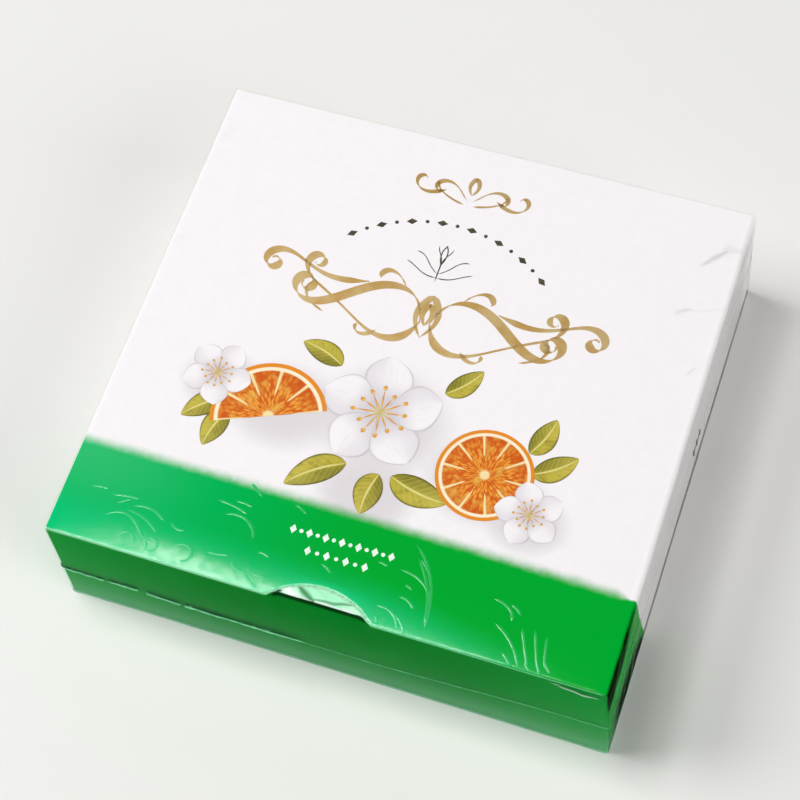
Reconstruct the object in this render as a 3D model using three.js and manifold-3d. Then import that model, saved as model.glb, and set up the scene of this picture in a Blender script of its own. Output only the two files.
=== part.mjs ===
// A shut confectionery carton of folded boxboard in clear shrink film. The board is one blank: a four-sided tube
// that runs front to back, closed at each end by a panel that folds up from the floor of the carton and tucks its
// flap in under the roof. A half-moon thumb cut in the roof's front edge shows the flap. The film's weld runs round
// the four sides below the middle. The carton is full and shut, so its inside is solid.
// Millimetres, +Z up. The origin is the middle of the base, and the front panel faces -Y.
import * as THREE from "three";
import { mergeVertices } from "three/addons/utils/BufferGeometryUtils.js";
import Module from "manifold-3d";

// Driving dimensions
const WIDTH = 165; // left to right, along the front
const DEPTH = 155; // front to back
const HEIGHT = 47;
const BOARD = 0.5; // thickness of the boxboard
const CREASE = 1; // outer radius of a folded edge
const GAP = 0.3; // clearance between pieces that lie against each other

// Thumb cut in the roof's front edge
const THUMB_WIDTH = 30.7;
const THUMB_DEPTH = 6.2;

// End panels and their tuck flaps
const FLAP_LENGTH = 16; // how far a flap reaches in under the roof
const FLAP_INSET = 2; // how much narrower a flap is than the carton, each side
const FOLD_BORE = 0.3; // inner radius of the fold between a panel and its flap

// Film weld: a low bead that lies level round the left half and climbs towards the right
const WELD_HEIGHT = 17.8;
const WELD_CLIMB = 4.6;
const WELD_CLIMB_START = 10; // x where the climb starts
const WELD_CLIMB_END = 74; // x where it ends
const WELD_SPREAD = 1.3; // height of the bead's section
const WELD_PROUD = 0.4; // how far the bead stands out
const WELD_STEP = 5; // distance between sections on a straight side

// Fineness of round forms
const ARC_STEPS = 6;
const THUMB_STEPS = 96;
const CLEAR = 5; // how far a cutting tool runs past the board it cuts

const BOARD_WHITE = 0xf4f2f3;
const PANEL_GREEN = 0x14803c;
const FILM_PALE = 0xbfe6cf;

const halfWidth = WIDTH / 2;
const halfDepth = DEPTH / 2;
const panelRecess = BOARD + GAP; // room that an end panel takes from the tube
const flapTop = HEIGHT - BOARD - GAP;
const flapHalfWidth = halfWidth - FLAP_INSET;

const wasm = await Module();
wasm.setup();

function toSolid(geometry) {
  const bare = geometry.clone();
  bare.deleteAttribute("normal");
  bare.deleteAttribute("uv");
  const merged = mergeVertices(bare, 1e-4);
  return new wasm.Manifold(
    new wasm.Mesh({
      numProp: 3,
      vertProperties: merged.attributes.position.array,
      triVerts: new Uint32Array(merged.index.array),
    }),
  );
}

function toGeometry(solid) {
  const { vertProperties, triVerts } = solid.getMesh();
  const geometry = new THREE.BufferGeometry();
  geometry.setAttribute("position", new THREE.BufferAttribute(vertProperties, 3));
  geometry.setIndex(new THREE.BufferAttribute(triVerts, 1));
  geometry.computeVertexNormals();
  return geometry;
}

function boardMaterial(color, roughness) {
  return new THREE.MeshStandardMaterial({ color, roughness, metalness: 0 });
}

function namedMesh(name, geometry, material) {
  const mesh = new THREE.Mesh(geometry, material);
  mesh.name = name;
  return mesh;
}

function block(low, high) {
  const size = high.map((value, axis) => value - low[axis]);
  const middle = high.map((value, axis) => (value + low[axis]) / 2);
  return new THREE.BoxGeometry(...size).translate(...middle);
}

// A rectangle with rounded corners, centred on x and standing from y = low to y = high.
function roundedOutline(half, low, high, radius) {
  const outline = new THREE.Shape();
  outline.absarc(half - radius, low + radius, radius, -Math.PI / 2, 0, false);
  outline.absarc(half - radius, high - radius, radius, 0, Math.PI / 2, false);
  outline.absarc(-half + radius, high - radius, radius, Math.PI / 2, Math.PI, false);
  outline.absarc(-half + radius, low + radius, radius, Math.PI, 1.5 * Math.PI, false);
  return outline;
}

function extruded(outline, length) {
  return new THREE.ExtrudeGeometry(outline, {
    depth: length,
    steps: 1,
    bevelEnabled: false,
    curveSegments: ARC_STEPS,
  });
}

// The tube of four panels with what it holds: creased long edges, softened upright corners, a recess at each end for
// the closing panel, a slot under the roof for its flap, and the thumb cut through the roof.
function cartonBody() {
  const section = extruded(roundedOutline(halfWidth, 0, HEIGHT, CREASE), DEPTH)
    .rotateX(Math.PI / 2)
    .translate(0, halfDepth, 0);
  const plan = extruded(roundedOutline(halfWidth, -halfDepth, halfDepth, CREASE), HEIGHT);
  let body = toSolid(section).intersect(toSolid(plan));

  for (const end of [-1, 1]) {
    const face = end * halfDepth;
    const inner = face - end * panelRecess;
    const outer = face + end * CLEAR;
    const recess = block(
      [-halfWidth - CLEAR, Math.min(inner, outer), -CLEAR],
      [halfWidth + CLEAR, Math.max(inner, outer), HEIGHT - BOARD],
    );
    const slotEnd = face - end * (FLAP_LENGTH + GAP);
    const slot = block(
      [-flapHalfWidth - GAP, Math.min(slotEnd, outer), flapTop - BOARD - GAP],
      [flapHalfWidth + GAP, Math.max(slotEnd, outer), HEIGHT - BOARD],
    );
    body = body.subtract(toSolid(recess)).subtract(toSolid(slot));
  }

  const thumbRadius = ((THUMB_WIDTH / 2) ** 2 + THUMB_DEPTH ** 2) / (2 * THUMB_DEPTH);
  const thumb = new THREE.CylinderGeometry(
    thumbRadius,
    thumbRadius,
    2 * (BOARD + GAP),
    THUMB_STEPS,
  )
    .rotateX(Math.PI / 2)
    .translate(0, THUMB_DEPTH - halfDepth - thumbRadius, HEIGHT);
  return toGeometry(body.subtract(toSolid(thumb)));
}

// An end panel with its flap, drawn as one bent strip of board: up the face of the carton, round the fold and in
// under the roof. It is drawn for the front end.
function endPanel() {
  const face = -halfDepth;
  const foldOuter = FOLD_BORE + BOARD;
  const strip = new THREE.Shape();
  strip.moveTo(face + BOARD, 0);
  strip.lineTo(face + BOARD, flapTop - foldOuter);
  strip.absarc(face + foldOuter, flapTop - foldOuter, FOLD_BORE, Math.PI, Math.PI / 2, true);
  strip.lineTo(face + FLAP_LENGTH, flapTop - BOARD);
  strip.lineTo(face + FLAP_LENGTH, flapTop);
  strip.lineTo(face + foldOuter, flapTop);
  strip.absarc(face + foldOuter, flapTop - foldOuter, foldOuter, Math.PI / 2, Math.PI, false);
  strip.lineTo(face, CREASE / 2);
  strip.absarc(face + CREASE / 2, CREASE / 2, CREASE / 2, Math.PI, 1.5 * Math.PI, false);

  const panelHalfWidth = halfWidth - GAP;
  const turned = new THREE.Matrix4().makeBasis(
    new THREE.Vector3(0, 1, 0),
    new THREE.Vector3(0, 0, 1),
    new THREE.Vector3(1, 0, 0),
  );
  const bent = extruded(strip, 2 * panelHalfWidth)
    .applyMatrix4(turned)
    .translate(-panelHalfWidth, 0, 0);

  let panel = toSolid(bent);
  for (const side of [-1, 1]) {
    const inner = side * flapHalfWidth;
    const outer = side * (halfWidth + CLEAR);
    const shoulder = block(
      [Math.min(inner, outer), face + foldOuter, flapTop - foldOuter],
      [Math.max(inner, outer), CLEAR, flapTop + CLEAR],
    );
    panel = panel.subtract(toSolid(shoulder));
  }
  return toGeometry(panel);
}

// Height of the weld's middle line above a point of the carton's outline.
function weldHeight(x) {
  return WELD_HEIGHT + WELD_CLIMB * THREE.MathUtils.smoothstep(x, WELD_CLIMB_START, WELD_CLIMB_END);
}

// Points round the carton's outline, counter-clockwise from above, each with its outward direction.
function outlineStations(offset) {
  const stations = [];
  const corners = [
    { x: 1, y: -1, start: -Math.PI / 2 },
    { x: 1, y: 1, start: 0 },
    { x: -1, y: 1, start: Math.PI / 2 },
    { x: -1, y: -1, start: Math.PI },
  ];
  corners.forEach((corner, index) => {
    const centre = new THREE.Vector2(
      corner.x * (halfWidth - CREASE),
      corner.y * (halfDepth - CREASE),
    );
    for (let step = 0; step <= ARC_STEPS; step += 1) {
      const angle = corner.start + (step / ARC_STEPS) * (Math.PI / 2);
      const out = new THREE.Vector2(Math.cos(angle), Math.sin(angle));
      stations.push({ at: out.clone().multiplyScalar(CREASE + offset).add(centre), out });
    }
    const last = stations[stations.length - 1];
    const next = corners[(index + 1) % corners.length];
    const goal = new THREE.Vector2(
      next.x * (halfWidth - CREASE),
      next.y * (halfDepth - CREASE),
    ).addScaledVector(last.out, CREASE + offset);
    const count = Math.round(goal.distanceTo(last.at) / WELD_STEP);
    for (let step = 1; step < count; step += 1) {
      stations.push({ at: last.at.clone().lerp(goal, step / count), out: last.out });
    }
  });
  return stations;
}

// The weld: a flat-backed bead swept round the outline as a closed ring.
function filmWeld() {
  const stations = outlineStations(GAP);
  const section = [
    [0, -WELD_SPREAD / 2],
    [WELD_PROUD * 0.7, -WELD_SPREAD / 4],
    [WELD_PROUD, 0],
    [WELD_PROUD * 0.7, WELD_SPREAD / 4],
    [0, WELD_SPREAD / 2],
  ];
  const positions = [];
  for (const { at, out } of stations) {
    for (const [proud, rise] of section) {
      positions.push(at.x + out.x * proud, at.y + out.y * proud, weldHeight(at.x) + rise);
    }
  }
  const triangles = [];
  stations.forEach((_, ring) => {
    section.forEach((__, corner) => {
      const nextRing = (ring + 1) % stations.length;
      const nextCorner = (corner + 1) % section.length;
      const a = ring * section.length + corner;
      const b = nextRing * section.length + corner;
      const c = nextRing * section.length + nextCorner;
      const d = ring * section.length + nextCorner;
      triangles.push(a, b, c, a, c, d);
    });
  });
  const geometry = new THREE.BufferGeometry();
  geometry.setAttribute("position", new THREE.Float32BufferAttribute(positions, 3));
  geometry.setIndex(triangles);
  geometry.computeVertexNormals();
  return geometry;
}

const group = new THREE.Group();
group.add(namedMesh("carton_body", cartonBody(), boardMaterial(BOARD_WHITE, 0.4)));

group.add(namedMesh("front_panel", endPanel(), boardMaterial(PANEL_GREEN, 0.35)));

const backPanel = namedMesh("back_panel", endPanel(), boardMaterial(BOARD_WHITE, 0.4));
backPanel.rotation.z = Math.PI;
group.add(backPanel);

group.add(namedMesh("film_weld", filmWeld(), boardMaterial(FILM_PALE, 0.15)));

export default group;
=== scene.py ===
import math

import bmesh
import bpy
from mathutils import Matrix, Vector, noise


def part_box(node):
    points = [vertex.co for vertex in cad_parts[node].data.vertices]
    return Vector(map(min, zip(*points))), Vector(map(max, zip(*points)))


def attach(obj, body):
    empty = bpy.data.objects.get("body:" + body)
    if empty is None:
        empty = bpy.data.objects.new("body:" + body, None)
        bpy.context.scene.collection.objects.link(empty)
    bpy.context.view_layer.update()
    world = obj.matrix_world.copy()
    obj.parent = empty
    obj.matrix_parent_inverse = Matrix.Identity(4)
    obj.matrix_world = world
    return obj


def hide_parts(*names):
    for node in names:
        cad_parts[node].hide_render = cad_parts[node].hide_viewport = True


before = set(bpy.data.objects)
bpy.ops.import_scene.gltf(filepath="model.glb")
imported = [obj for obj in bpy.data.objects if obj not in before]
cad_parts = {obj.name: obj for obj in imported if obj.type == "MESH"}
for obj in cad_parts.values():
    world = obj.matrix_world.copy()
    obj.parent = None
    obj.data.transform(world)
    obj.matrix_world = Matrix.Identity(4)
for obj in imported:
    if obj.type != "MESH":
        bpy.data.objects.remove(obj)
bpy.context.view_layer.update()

# --------------------------------------------------------------------------------------------------
# Carton tube. One blank of clay-coated boxboard, printed and varnished outside, creased along four long edges
# and glued into a tube that runs front to back. A half-moon thumb cut is punched in the roof's front edge.
# Cut edges show raw board, and the full carton bears slow waves in its panels.

MM = 0.001
_, tube_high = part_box("carton_body")
HALF_WIDTH = tube_high.x
HALF_DEPTH = tube_high.y
HEIGHT = tube_high.z
BOARD = 0.55 * MM
FILM_ROOM = 0.3 * MM            # how far the board lies inside the film
CREASE_RADIUS = 1.1 * MM
CREASE_STEPS = 5
FLOOR_COLUMNS = 10              # columns of faces over half the floor, the roof beside the cut, and a wall
ROOF_COLUMNS = 24
WALL_COLUMNS = 14
THUMB_COLUMNS = 44
THUMB_HALF = 15.35 * MM
THUMB_DEEP = 6.2 * MM
THUMB_RADIUS = (THUMB_HALF**2 + THUMB_DEEP**2) / (2 * THUMB_DEEP)
PANEL_ROOM = 0.9 * MM           # how far the walls stop short of the carton's ends, behind the end panels
ROOF_SAG = 0.35 * MM            # how far the middle of the roof and of a wall lies in
WALL_HOLLOW = 0.3 * MM
FRONT_DROOP = 0.5 * MM          # the film pulls the roof's free front edge down on the flap
DROOP_REACH = 15 * MM
DROOP_CORNER = 22 * MM          # how far from a corner the walls hold the edge up
WAVE_LENGTH = 38 * MM
WAVE_HEIGHT = 0.08 * MM
ROW_STEP = 3 * MM
STRAIGHT_FROM = -HALF_DEPTH + 9 * MM        # rows run straight across behind this place
TURN_SHARES = (0.35, 0.7)       # where two rows lie between the cut edge and the straight rows
SHRINK_LEAN = 1.0 * MM          # how far the film pulls the top of each wall inwards
WORN_ROWS = ((0.0, 0.16), (0.1, 0.03), (0.28, 0.0), (0.9, 0.0))     # distance from a cut edge and drop, in mm


def spread(start, end, count):
    """Numbers from start up to end, without end itself."""
    return [start + (end - start) * step / count for step in range(count)]


def fade_to_rim(across, along):
    """1 in the middle of a panel and 0 at its rim, for a place from -1 to 1 each way."""
    return max(0.0, 1 - across**2) * max(0.0, 1 - along**2)


def panel_dent(depth, across, along, seed):
    """How far a panel of the carton lies inside its flat place."""
    wave = noise.noise(Vector((across * HALF_WIDTH, along * HALF_WIDTH, seed)) / WAVE_LENGTH)
    return (depth + WAVE_HEIGHT * (1 + wave)) * fade_to_rim(across, along)


def roof_dent(x, y):
    held = min(1.0, max(0.0, (HALF_WIDTH - abs(x)) / DROOP_CORNER)) ** 0.5
    droop = FRONT_DROOP * held * max(0.0, 1 - (y + HALF_DEPTH) / DROOP_REACH) ** 2
    return panel_dent(ROOF_SAG, x / HALF_WIDTH, y / HALF_DEPTH, seed=0.0) + droop


def wall_dent(along, z, seed):
    return panel_dent(WALL_HOLLOW, along / HALF_WIDTH, 2 * z / HEIGHT - 1, seed)


def on_roof(x, y, lift=0.0):
    """The point of the roof's printed face at x, y, or one that lies above it."""
    return Vector((x, y, HEIGHT - FILM_ROOM - roof_dent(x, y) + lift))


def thumb_depth(x):
    """How far the roof's front edge is cut back at x."""
    if abs(x) >= THUMB_HALF:
        return 0.0
    return math.sqrt(THUMB_RADIUS**2 - x * x) - THUMB_RADIUS + THUMB_DEEP


def crease(centre, start):
    """Stations round a creased edge, clockwise from the direction at angle start."""
    angles = [start - step / CREASE_STEPS * math.pi / 2 for step in range(CREASE_STEPS + 1)]
    return [(centre, (math.cos(angle), math.sin(angle))) for angle in angles]


def tube_section():
    """The tube's section, clockwise from the middle of the floor: crease centres and outward directions."""
    half = HALF_WIDTH - FILM_ROOM - CREASE_RADIUS
    low = FILM_ROOM + CREASE_RADIUS
    high = HEIGHT - FILM_ROOM - CREASE_RADIUS
    cusp = math.asin(THUMB_HALF / THUMB_RADIUS)
    thumb = [THUMB_RADIUS * math.sin(angle) for angle in spread(-cusp, cusp, THUMB_COLUMNS)]
    roof = spread(-half, -THUMB_HALF, ROOF_COLUMNS) + thumb + spread(THUMB_HALF, half, ROOF_COLUMNS)
    stations = [((x, low), (0, -1)) for x in spread(0, -half, FLOOR_COLUMNS)]
    stations += crease((-half, low), 1.5 * math.pi)
    stations += [((-half, z), (-1, 0)) for z in spread(low, high, WALL_COLUMNS)[1:]]
    stations += crease((-half, high), math.pi)
    stations += [((x, high), (0, 1)) for x in roof[1:]]
    stations += crease((half, high), 0.5 * math.pi)
    stations += [((half, z), (1, 0)) for z in spread(high, low, WALL_COLUMNS)[1:]]
    stations += crease((half, low), 0)
    stations += [((x, low), (0, -1)) for x in spread(half, 0, FLOOR_COLUMNS)[1:]]
    return stations


def tube_row_places():
    """Rows, front to back: shares of a column's front and back ends, an offset and a drop from the face."""
    rows = [(1, 0, distance * MM, drop * MM) for distance, drop in WORN_ROWS]
    near = WORN_ROWS[-1][0] * MM
    rows += [(1 - share, 0, near * (1 - share) + STRAIGHT_FROM * share, 0) for share in TURN_SHARES]
    last = HALF_DEPTH - 2 * ROW_STEP
    rows += [(0, 0, y, 0) for y in spread(STRAIGHT_FROM, last, round((last - STRAIGHT_FROM) / ROW_STEP))]
    rows += [(0, 0.5, last / 2, 0)]
    rows += [(0, 1, -distance * MM, drop * MM) for distance, drop in reversed(WORN_ROWS)]
    return rows


def tube_rows(depth):
    """Rows of points of the tube, at a depth below its outer face."""
    rows = []
    for front_share, back_share, offset, drop in tube_row_places():
        row = []
        for (x, z), (out_x, out_z) in tube_section():
            face_x = x + out_x * CREASE_RADIUS
            face_z = z + out_z * CREASE_RADIUS
            end = HALF_DEPTH - FILM_ROOM - PANEL_ROOM * (1 - max(0.0, out_z))
            front = -end + (thumb_depth(face_x) if out_z > 0 else 0.0)
            y = front_share * front + back_share * end + offset
            dent = out_z**2 * roof_dent(face_x, y) + out_x**2 * wall_dent(y, face_z, seed=x)
            inward = dent + depth + (0 if depth else drop)
            row.append(Vector((face_x - out_x * inward, y, face_z - out_z * inward)))
        rows.append(row)
    return rows


def blank_places(rows):
    """The places of a ring's points on the flat blank: 0 on the roof's middle line, and cut at the floor."""
    steps = [(b - a).length for a, b in zip(rows[0], rows[0][1:] + rows[0][:1])]
    across = [sum(steps[:count]) - sum(steps) / 2 for count in range(len(steps) + 1)]
    return [[(place, row[0].y) for place in across] for row in rows]


def closed_sheet(outer, inner, blank, ring=False):
    """A sheet of board as points, faces, the faces' corners on the blank, and which faces are cut edges."""
    rows = len(outer)
    columns = len(outer[0])
    points = [point for row in outer + inner for point in row]
    faces, corners, raw = [], [], []

    def add(cells, cut=0.0):
        faces.append([(side * rows + row) * columns + column % columns for side, row, column in cells])
        corners.append([blank[row][column] for _, row, column in cells])
        raw.append(cut)

    for column in range(columns if ring else columns - 1):
        for row in range(rows - 1):
            cell = [(row, column), (row, column + 1), (row + 1, column + 1), (row + 1, column)]
            for side in (0, 1):
                add([(side, *corner) for corner in cell])
        for row in (0, rows - 1):
            add([(0, row, column), (1, row, column), (1, row, column + 1), (0, row, column + 1)], cut=1.0)
    for row in range(0 if ring else rows - 1):
        for column in (0, columns - 1):
            add([(0, row, column), (0, row + 1, column), (1, row + 1, column), (1, row, column)], cut=1.0)
    return points, faces, corners, raw


def sheet_piece(name, sheets, smooth_to=38):
    """Join closed sheets into one object. Their blank is its UV map, their cut edges are an attribute."""
    points, faces, corners, raw = [], [], [], []
    for sheet_points, sheet_faces, sheet_corners, sheet_raw in sheets:
        faces += [[len(points) + index for index in face] for face in sheet_faces]
        points += sheet_points
        corners += sheet_corners
        raw += sheet_raw
    mesh = bpy.data.meshes.new(name)
    mesh.from_pydata(points, [], faces)
    layer = mesh.uv_layers.new(name="blank")
    for corner, place in zip(layer.data, [place for face in corners for place in face]):
        corner.uv = place
    mesh.attributes.new("raw", "FLOAT", "FACE").data.foreach_set("value", raw)
    return finished_piece(name, mesh, smooth_to)


def finished_piece(name, mesh, smooth_to=38):
    """An object for a closed mesh that leans in with the walls, with faces outwards and soft edges smooth."""
    for vertex in mesh.vertices:
        lean = SHRINK_LEAN * vertex.co.z / HEIGHT
        vertex.co.x *= 1 - lean / HALF_WIDTH
        vertex.co.y *= 1 - lean / HALF_DEPTH
    turned = bmesh.new()
    turned.from_mesh(mesh)
    bmesh.ops.recalc_face_normals(turned, faces=turned.faces)
    turned.to_mesh(mesh)
    turned.free()
    mesh.shade_smooth()
    mesh.set_sharp_from_angle(angle=math.radians(smooth_to))
    piece = bpy.data.objects.new(name, mesh)
    bpy.context.scene.collection.objects.link(piece)
    return piece


class Wire:
    """A socket of a node tree. Arithmetic written on it becomes Math nodes."""

    def __init__(self, tree, socket):
        self.tree = tree
        self.socket = socket

    def math(self, operation, *values):
        return self.tree.node("ShaderNodeMath", {"operation": operation}, dict(enumerate(values)))

    def __add__(self, other):
        return self.math("ADD", self, other)

    def __radd__(self, other):
        return self.math("ADD", other, self)

    def __sub__(self, other):
        return self.math("SUBTRACT", self, other)

    def __rsub__(self, other):
        return self.math("SUBTRACT", other, self)

    def __mul__(self, other):
        return self.math("MULTIPLY", self, other)

    def __rmul__(self, other):
        return self.math("MULTIPLY", other, self)

    def __truediv__(self, other):
        return self.math("DIVIDE", self, other)

    def __rtruediv__(self, other):
        return self.math("DIVIDE", other, self)

    def __abs__(self):
        return self.math("ABSOLUTE", self)

    def sine(self):
        return self.math("SINE", self)

    def rise(self, start, end):
        """0 up to start and 1 from end on, with a smooth slope between them."""
        settings = {"interpolation_type": "SMOOTHSTEP"}
        return self.tree.node("ShaderNodeMapRange", settings, {0: self, 1: start, 2: end, 3: 0.0, 4: 1.0})


class Tree:
    """A node tree being built."""

    def __init__(self, tree):
        self.tree = tree

    def node(self, kind, settings=None, sockets=None, output=0):
        """Add a node with its settings and the values or wires of its sockets. Gives one of its outputs."""
        made = self.tree.nodes.new(kind)
        for setting, value in (settings or {}).items():
            setattr(made, setting, value)
        for socket, value in (sockets or {}).items():
            wires = value if isinstance(value, list) else [value]
            for wire in wires:
                if isinstance(wire, Wire):
                    self.tree.links.new(wire.socket, made.inputs[socket])
                else:
                    made.inputs[socket].default_value = wire
        return Wire(self, made.outputs[output]) if made.outputs else None

    def split(self, vector):
        """The x, y and z of a vector."""
        parted = self.node("ShaderNodeSeparateXYZ", {}, {0: vector})
        return [Wire(self, output) for output in parted.socket.node.outputs]

    def mix(self, share, first, second, blend="MIX"):
        """Blend two colours."""
        settings = {"data_type": "RGBA", "blend_type": blend}
        return self.node("ShaderNodeMix", settings, {0: share, 6: first, 7: second}, output=2)

    def lumps(self, size, detail=2.0, place=None):
        """Noise round 0.5, whose lumps are about as large as size."""
        place = place or self.node("ShaderNodeTexCoord", output=3)
        return self.node("ShaderNodeTexNoise", {}, {"Vector": place, "Scale": 1 / size, "Detail": detail})

    def bump(self, height, strength, distance):
        sockets = {"Height": height, "Strength": strength, "Distance": distance}
        return self.node("ShaderNodeBump", {}, sockets)

    def principled(self, sockets):
        """End a material with a Principled surface."""
        surface = self.node("ShaderNodeBsdfPrincipled", {}, sockets)
        self.node("ShaderNodeOutputMaterial", {}, {"Surface": surface})


def ink(red, green, blue):
    """A colour given as it is seen on a display, from 0 to 255."""
    steps = [channel / 255 for channel in (red, green, blue)]
    return (*[step / 12.92 if step < 0.04 else ((step + 0.055) / 1.055) ** 2.4 for step in steps], 1.0)


def new_material(name):
    material = bpy.data.materials.new(name)
    material.use_nodes = True
    material.node_tree.nodes.clear()
    return material, Tree(material.node_tree)


def blank_place(tree):
    """The place on the flat blank, in millimetres across and along."""
    across, along, _ = tree.split(tree.node("ShaderNodeUVMap", {"uv_map": "blank"}))
    return across * 1000, along * 1000


def object_place(tree):
    """The place on the piece, in millimetres."""
    return [side * 1000 for side in tree.split(tree.node("ShaderNodeTexCoord", output=3))]


def board_surface(tree, colour, raw_colour, roughness, sheen=0.05, varnish=0.0):
    """Varnished print with raw board on the cut edges, and the fine grain of coated paper."""
    raw = tree.node("ShaderNodeAttribute", {"attribute_name": "raw"}, output=2)
    mottle = tree.lumps(9 * MM, 4.0)
    grain = tree.lumps(0.25 * MM, 3.0)
    colour = tree.mix(0.05, colour, tree.mix(mottle, (0.55, 0.55, 0.55, 1), (1, 1, 1, 1)), "MULTIPLY")
    sockets = {
        "Base Color": tree.mix(raw, colour, raw_colour),
        "Roughness": raw * 0.4 + mottle * 0.08 + roughness,
        "Specular IOR Level": sheen,
        "Coat Weight": tree.lumps(2.2 * MM, 4.0).rise(0.36, 0.62) * (varnish * 0.5) + varnish * 0.6,
        "Coat Roughness": 0.1,
        "Normal": tree.bump(grain, 0.25, 0.02 * MM),
    }
    tree.principled(sockets)


BOARD_WHITE = ink(246, 242, 244)
GREEN_INK = ink(0, 168, 48)
GREEN_LEFT = ink(0, 186, 103)
GREEN_SPAN = (-88.0, 15.0)      # where the band turns from the left green to the other, in millimetres across
BAND_GLARE_INK = ink(12, 200, 124)
BAND_GLARE_START = -62.0              # where the band's painted glare, a mint tint towards the front edge, starts, and over how many millimetres
BAND_GLARE_REACH = 17.0
BAND_GLARE_DELAY = 8.0                # how much later it starts at the right, and where that grows
BAND_GLARE_DELAY_SPAN = (10.0, 70.0)
BAND_GLARE_END_SPAN = (50.0, 79.0)    # where it dies out towards the right corner
RAW_BOARD = ink(226, 226, 218)
MINT_EDGE = ink(140, 236, 178)             # a cut edge coloured a pale mint
DARK_GREEN_EDGE = ink(60, 118, 76)            # the walls' cut edges, coloured a dark green
BAND_EDGE = -47.3               # where the green band ends on the roof, in millimetres behind its middle
BAND_BOW = 1.15                 # how far its edge bows forward at the roof's far end
BAND_BOW_MIDDLE = -25.0
BAND_BOW_HALF = 103.0
BAND_SOFT = 2.2
WALL_BAND_SLOPE = 0.235         # how far the band's edge runs back for each millimetre down a wall
WALL_BAND_SOFT = 0.4            # the right wall's print is sharp, and lies this much further forward
WALL_BAND_SHIFT = 0.9
SHADOW_INK = ink(214, 208, 211)
BOUQUET = {                     # the printed bouquet: each motif's middle and radius, in millimetres
    "blossom": (-3.0, -15.5, 18.0),
    "half_slice": (-33.5, -26.0, 17.0),
    "round_slice": (31.5, -25.5, 14.0),
    "left_bud": (-52.5, -17.0, 10.5),
    "right_bud": (47.0, -33.5, 10.0),
    "leaves": (0.0, -38.0, 13.0),
}
SHADOW_SHIFT = (1.5, -2.5)
SHADOW_WIDE = 1.43              # half-width and half-depth of a motif's shadow, over the motif's radius
SHADOW_DEEP = 1.105
HALF_SLICE_RISE = 0.4           # how far a half slice's middle lies from its straight edge, over its radius
HALF_SLICE_SHARE = 0.85         # how large its shadow is beside a whole one


def bouquet_shadow(across, along):
    """Soft shade under the printed bouquet, from 0 to 1."""
    light = 1.0
    for name, (middle_x, middle_y, radius) in BOUQUET.items():
        if name == "half_slice":
            middle_y += HALF_SLICE_RISE * radius
            radius *= HALF_SLICE_SHARE
        aside = (across - (middle_x + SHADOW_SHIFT[0])) / (radius * SHADOW_WIDE)
        ahead = (along - (middle_y + SHADOW_SHIFT[1])) / (radius * SHADOW_DEEP)
        distance_squared = aside * aside + ahead * ahead
        light = distance_squared.rise(0.1, 1.0) * light
    return 1 - light


def band_green_and_glare(tree, across, along):
    """The band's green: bluer towards the left, and more so along the front edge, where a mint tint is
    painted glare.
    """
    green = tree.mix(across.rise(*GREEN_SPAN), GREEN_LEFT, GREEN_INK)
    start = BAND_GLARE_START - across.rise(*BAND_GLARE_DELAY_SPAN) * BAND_GLARE_DELAY
    towards_edge = (start - along).rise(0.0, BAND_GLARE_REACH)
    return tree.mix(towards_edge * (1 - across.rise(*BAND_GLARE_END_SPAN)), green, BAND_GLARE_INK)


def carton_print():
    """The print of the tube, laid out on its flat blank: white, with a green band across the front that
    carries painted glare.
    """
    material, tree = new_material("carton_print")
    across, along = blank_place(tree)
    ragged = (tree.lumps(2.5 * MM, 3.0) - 0.5) * 1.2
    roof_half = (HALF_WIDTH - FILM_ROOM) / MM
    below_roof = abs(across) - roof_half
    bow = (across - BAND_BOW_MIDDLE) / BAND_BOW_HALF
    on_wall = below_roof.rise(-0.5, 0.5)
    down_wall = (below_roof + abs(below_roof)) / 2
    edge = BAND_EDGE - bow * bow * BAND_BOW + ragged * (1 - on_wall * 0.8) + down_wall * WALL_BAND_SLOPE
    sharp = (across - roof_half).rise(-4.5, 0.5)
    edge = edge - sharp * WALL_BAND_SHIFT
    soft = BAND_SOFT - sharp * (BAND_SOFT - WALL_BAND_SOFT)
    band = ((edge - along) / soft).rise(-1.0, 1.0)
    white = tree.mix(bouquet_shadow(across, along) * 0.75, BOARD_WHITE, SHADOW_INK)
    green = band_green_and_glare(tree, across, along)
    raw = tree.mix(on_wall, tree.mix(band, RAW_BOARD, MINT_EDGE), DARK_GREEN_EDGE)
    varnish = (1 - below_roof.rise(-0.5, 1.0)) * 0.6
    board_surface(tree, tree.mix(band, white, green), raw, roughness=0.42, sheen=0.0, varnish=varnish)
    return material


tube_outer = tube_rows(0.0)
tube_inner = tube_rows(BOARD)
tube_sheet = closed_sheet(tube_outer, tube_inner, blank_places(tube_outer), ring=True)
carton_tube = sheet_piece("carton_tube", [tube_sheet])
carton_tube.data.materials.append(carton_print())
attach(carton_tube, "root")
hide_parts("carton_body")

# --------------------------------------------------------------------------------------------------
# End panels. Each is a strip of the same boxboard that folds up from the floor and bends inwards over a tight
# fold, with its flap tucked in under the roof. The front one is printed green, the back one is white.

FOLD_RADIUS = 0.8 * MM
FOLD_STEPS = 6
FLAP_LENGTH = 16 * MM
FLAP_INSET = 2 * MM
FLAP_TAPER = 0.25               # how far a flap's sides draw in for each millimetre of its length
FLAP_EASE = 2.5 * MM            # how gently a flap's corners are cut back
PANEL_TOP = HEIGHT - FILM_ROOM - FRONT_DROOP - BOARD - 0.15 * MM
PANEL_HALF = HALF_WIDTH - FILM_ROOM - 0.15 * MM
PANEL_FOOT = 0.35 * MM
PANEL_COLUMNS = 56
PANEL_ROWS = 16
FLAP_ROWS = 6
THUMB_PUSH = 1.6 * MM           # how far the film presses the front panel's top in at the thumb cut
PUSH_REACH = 14 * MM
PUSH_EASE = 3.5 * MM


def ease(value):
    """A smooth slope from 0 to 1."""
    value = min(1.0, max(0.0, value))
    return value * value * (3 - 2 * value)


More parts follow.
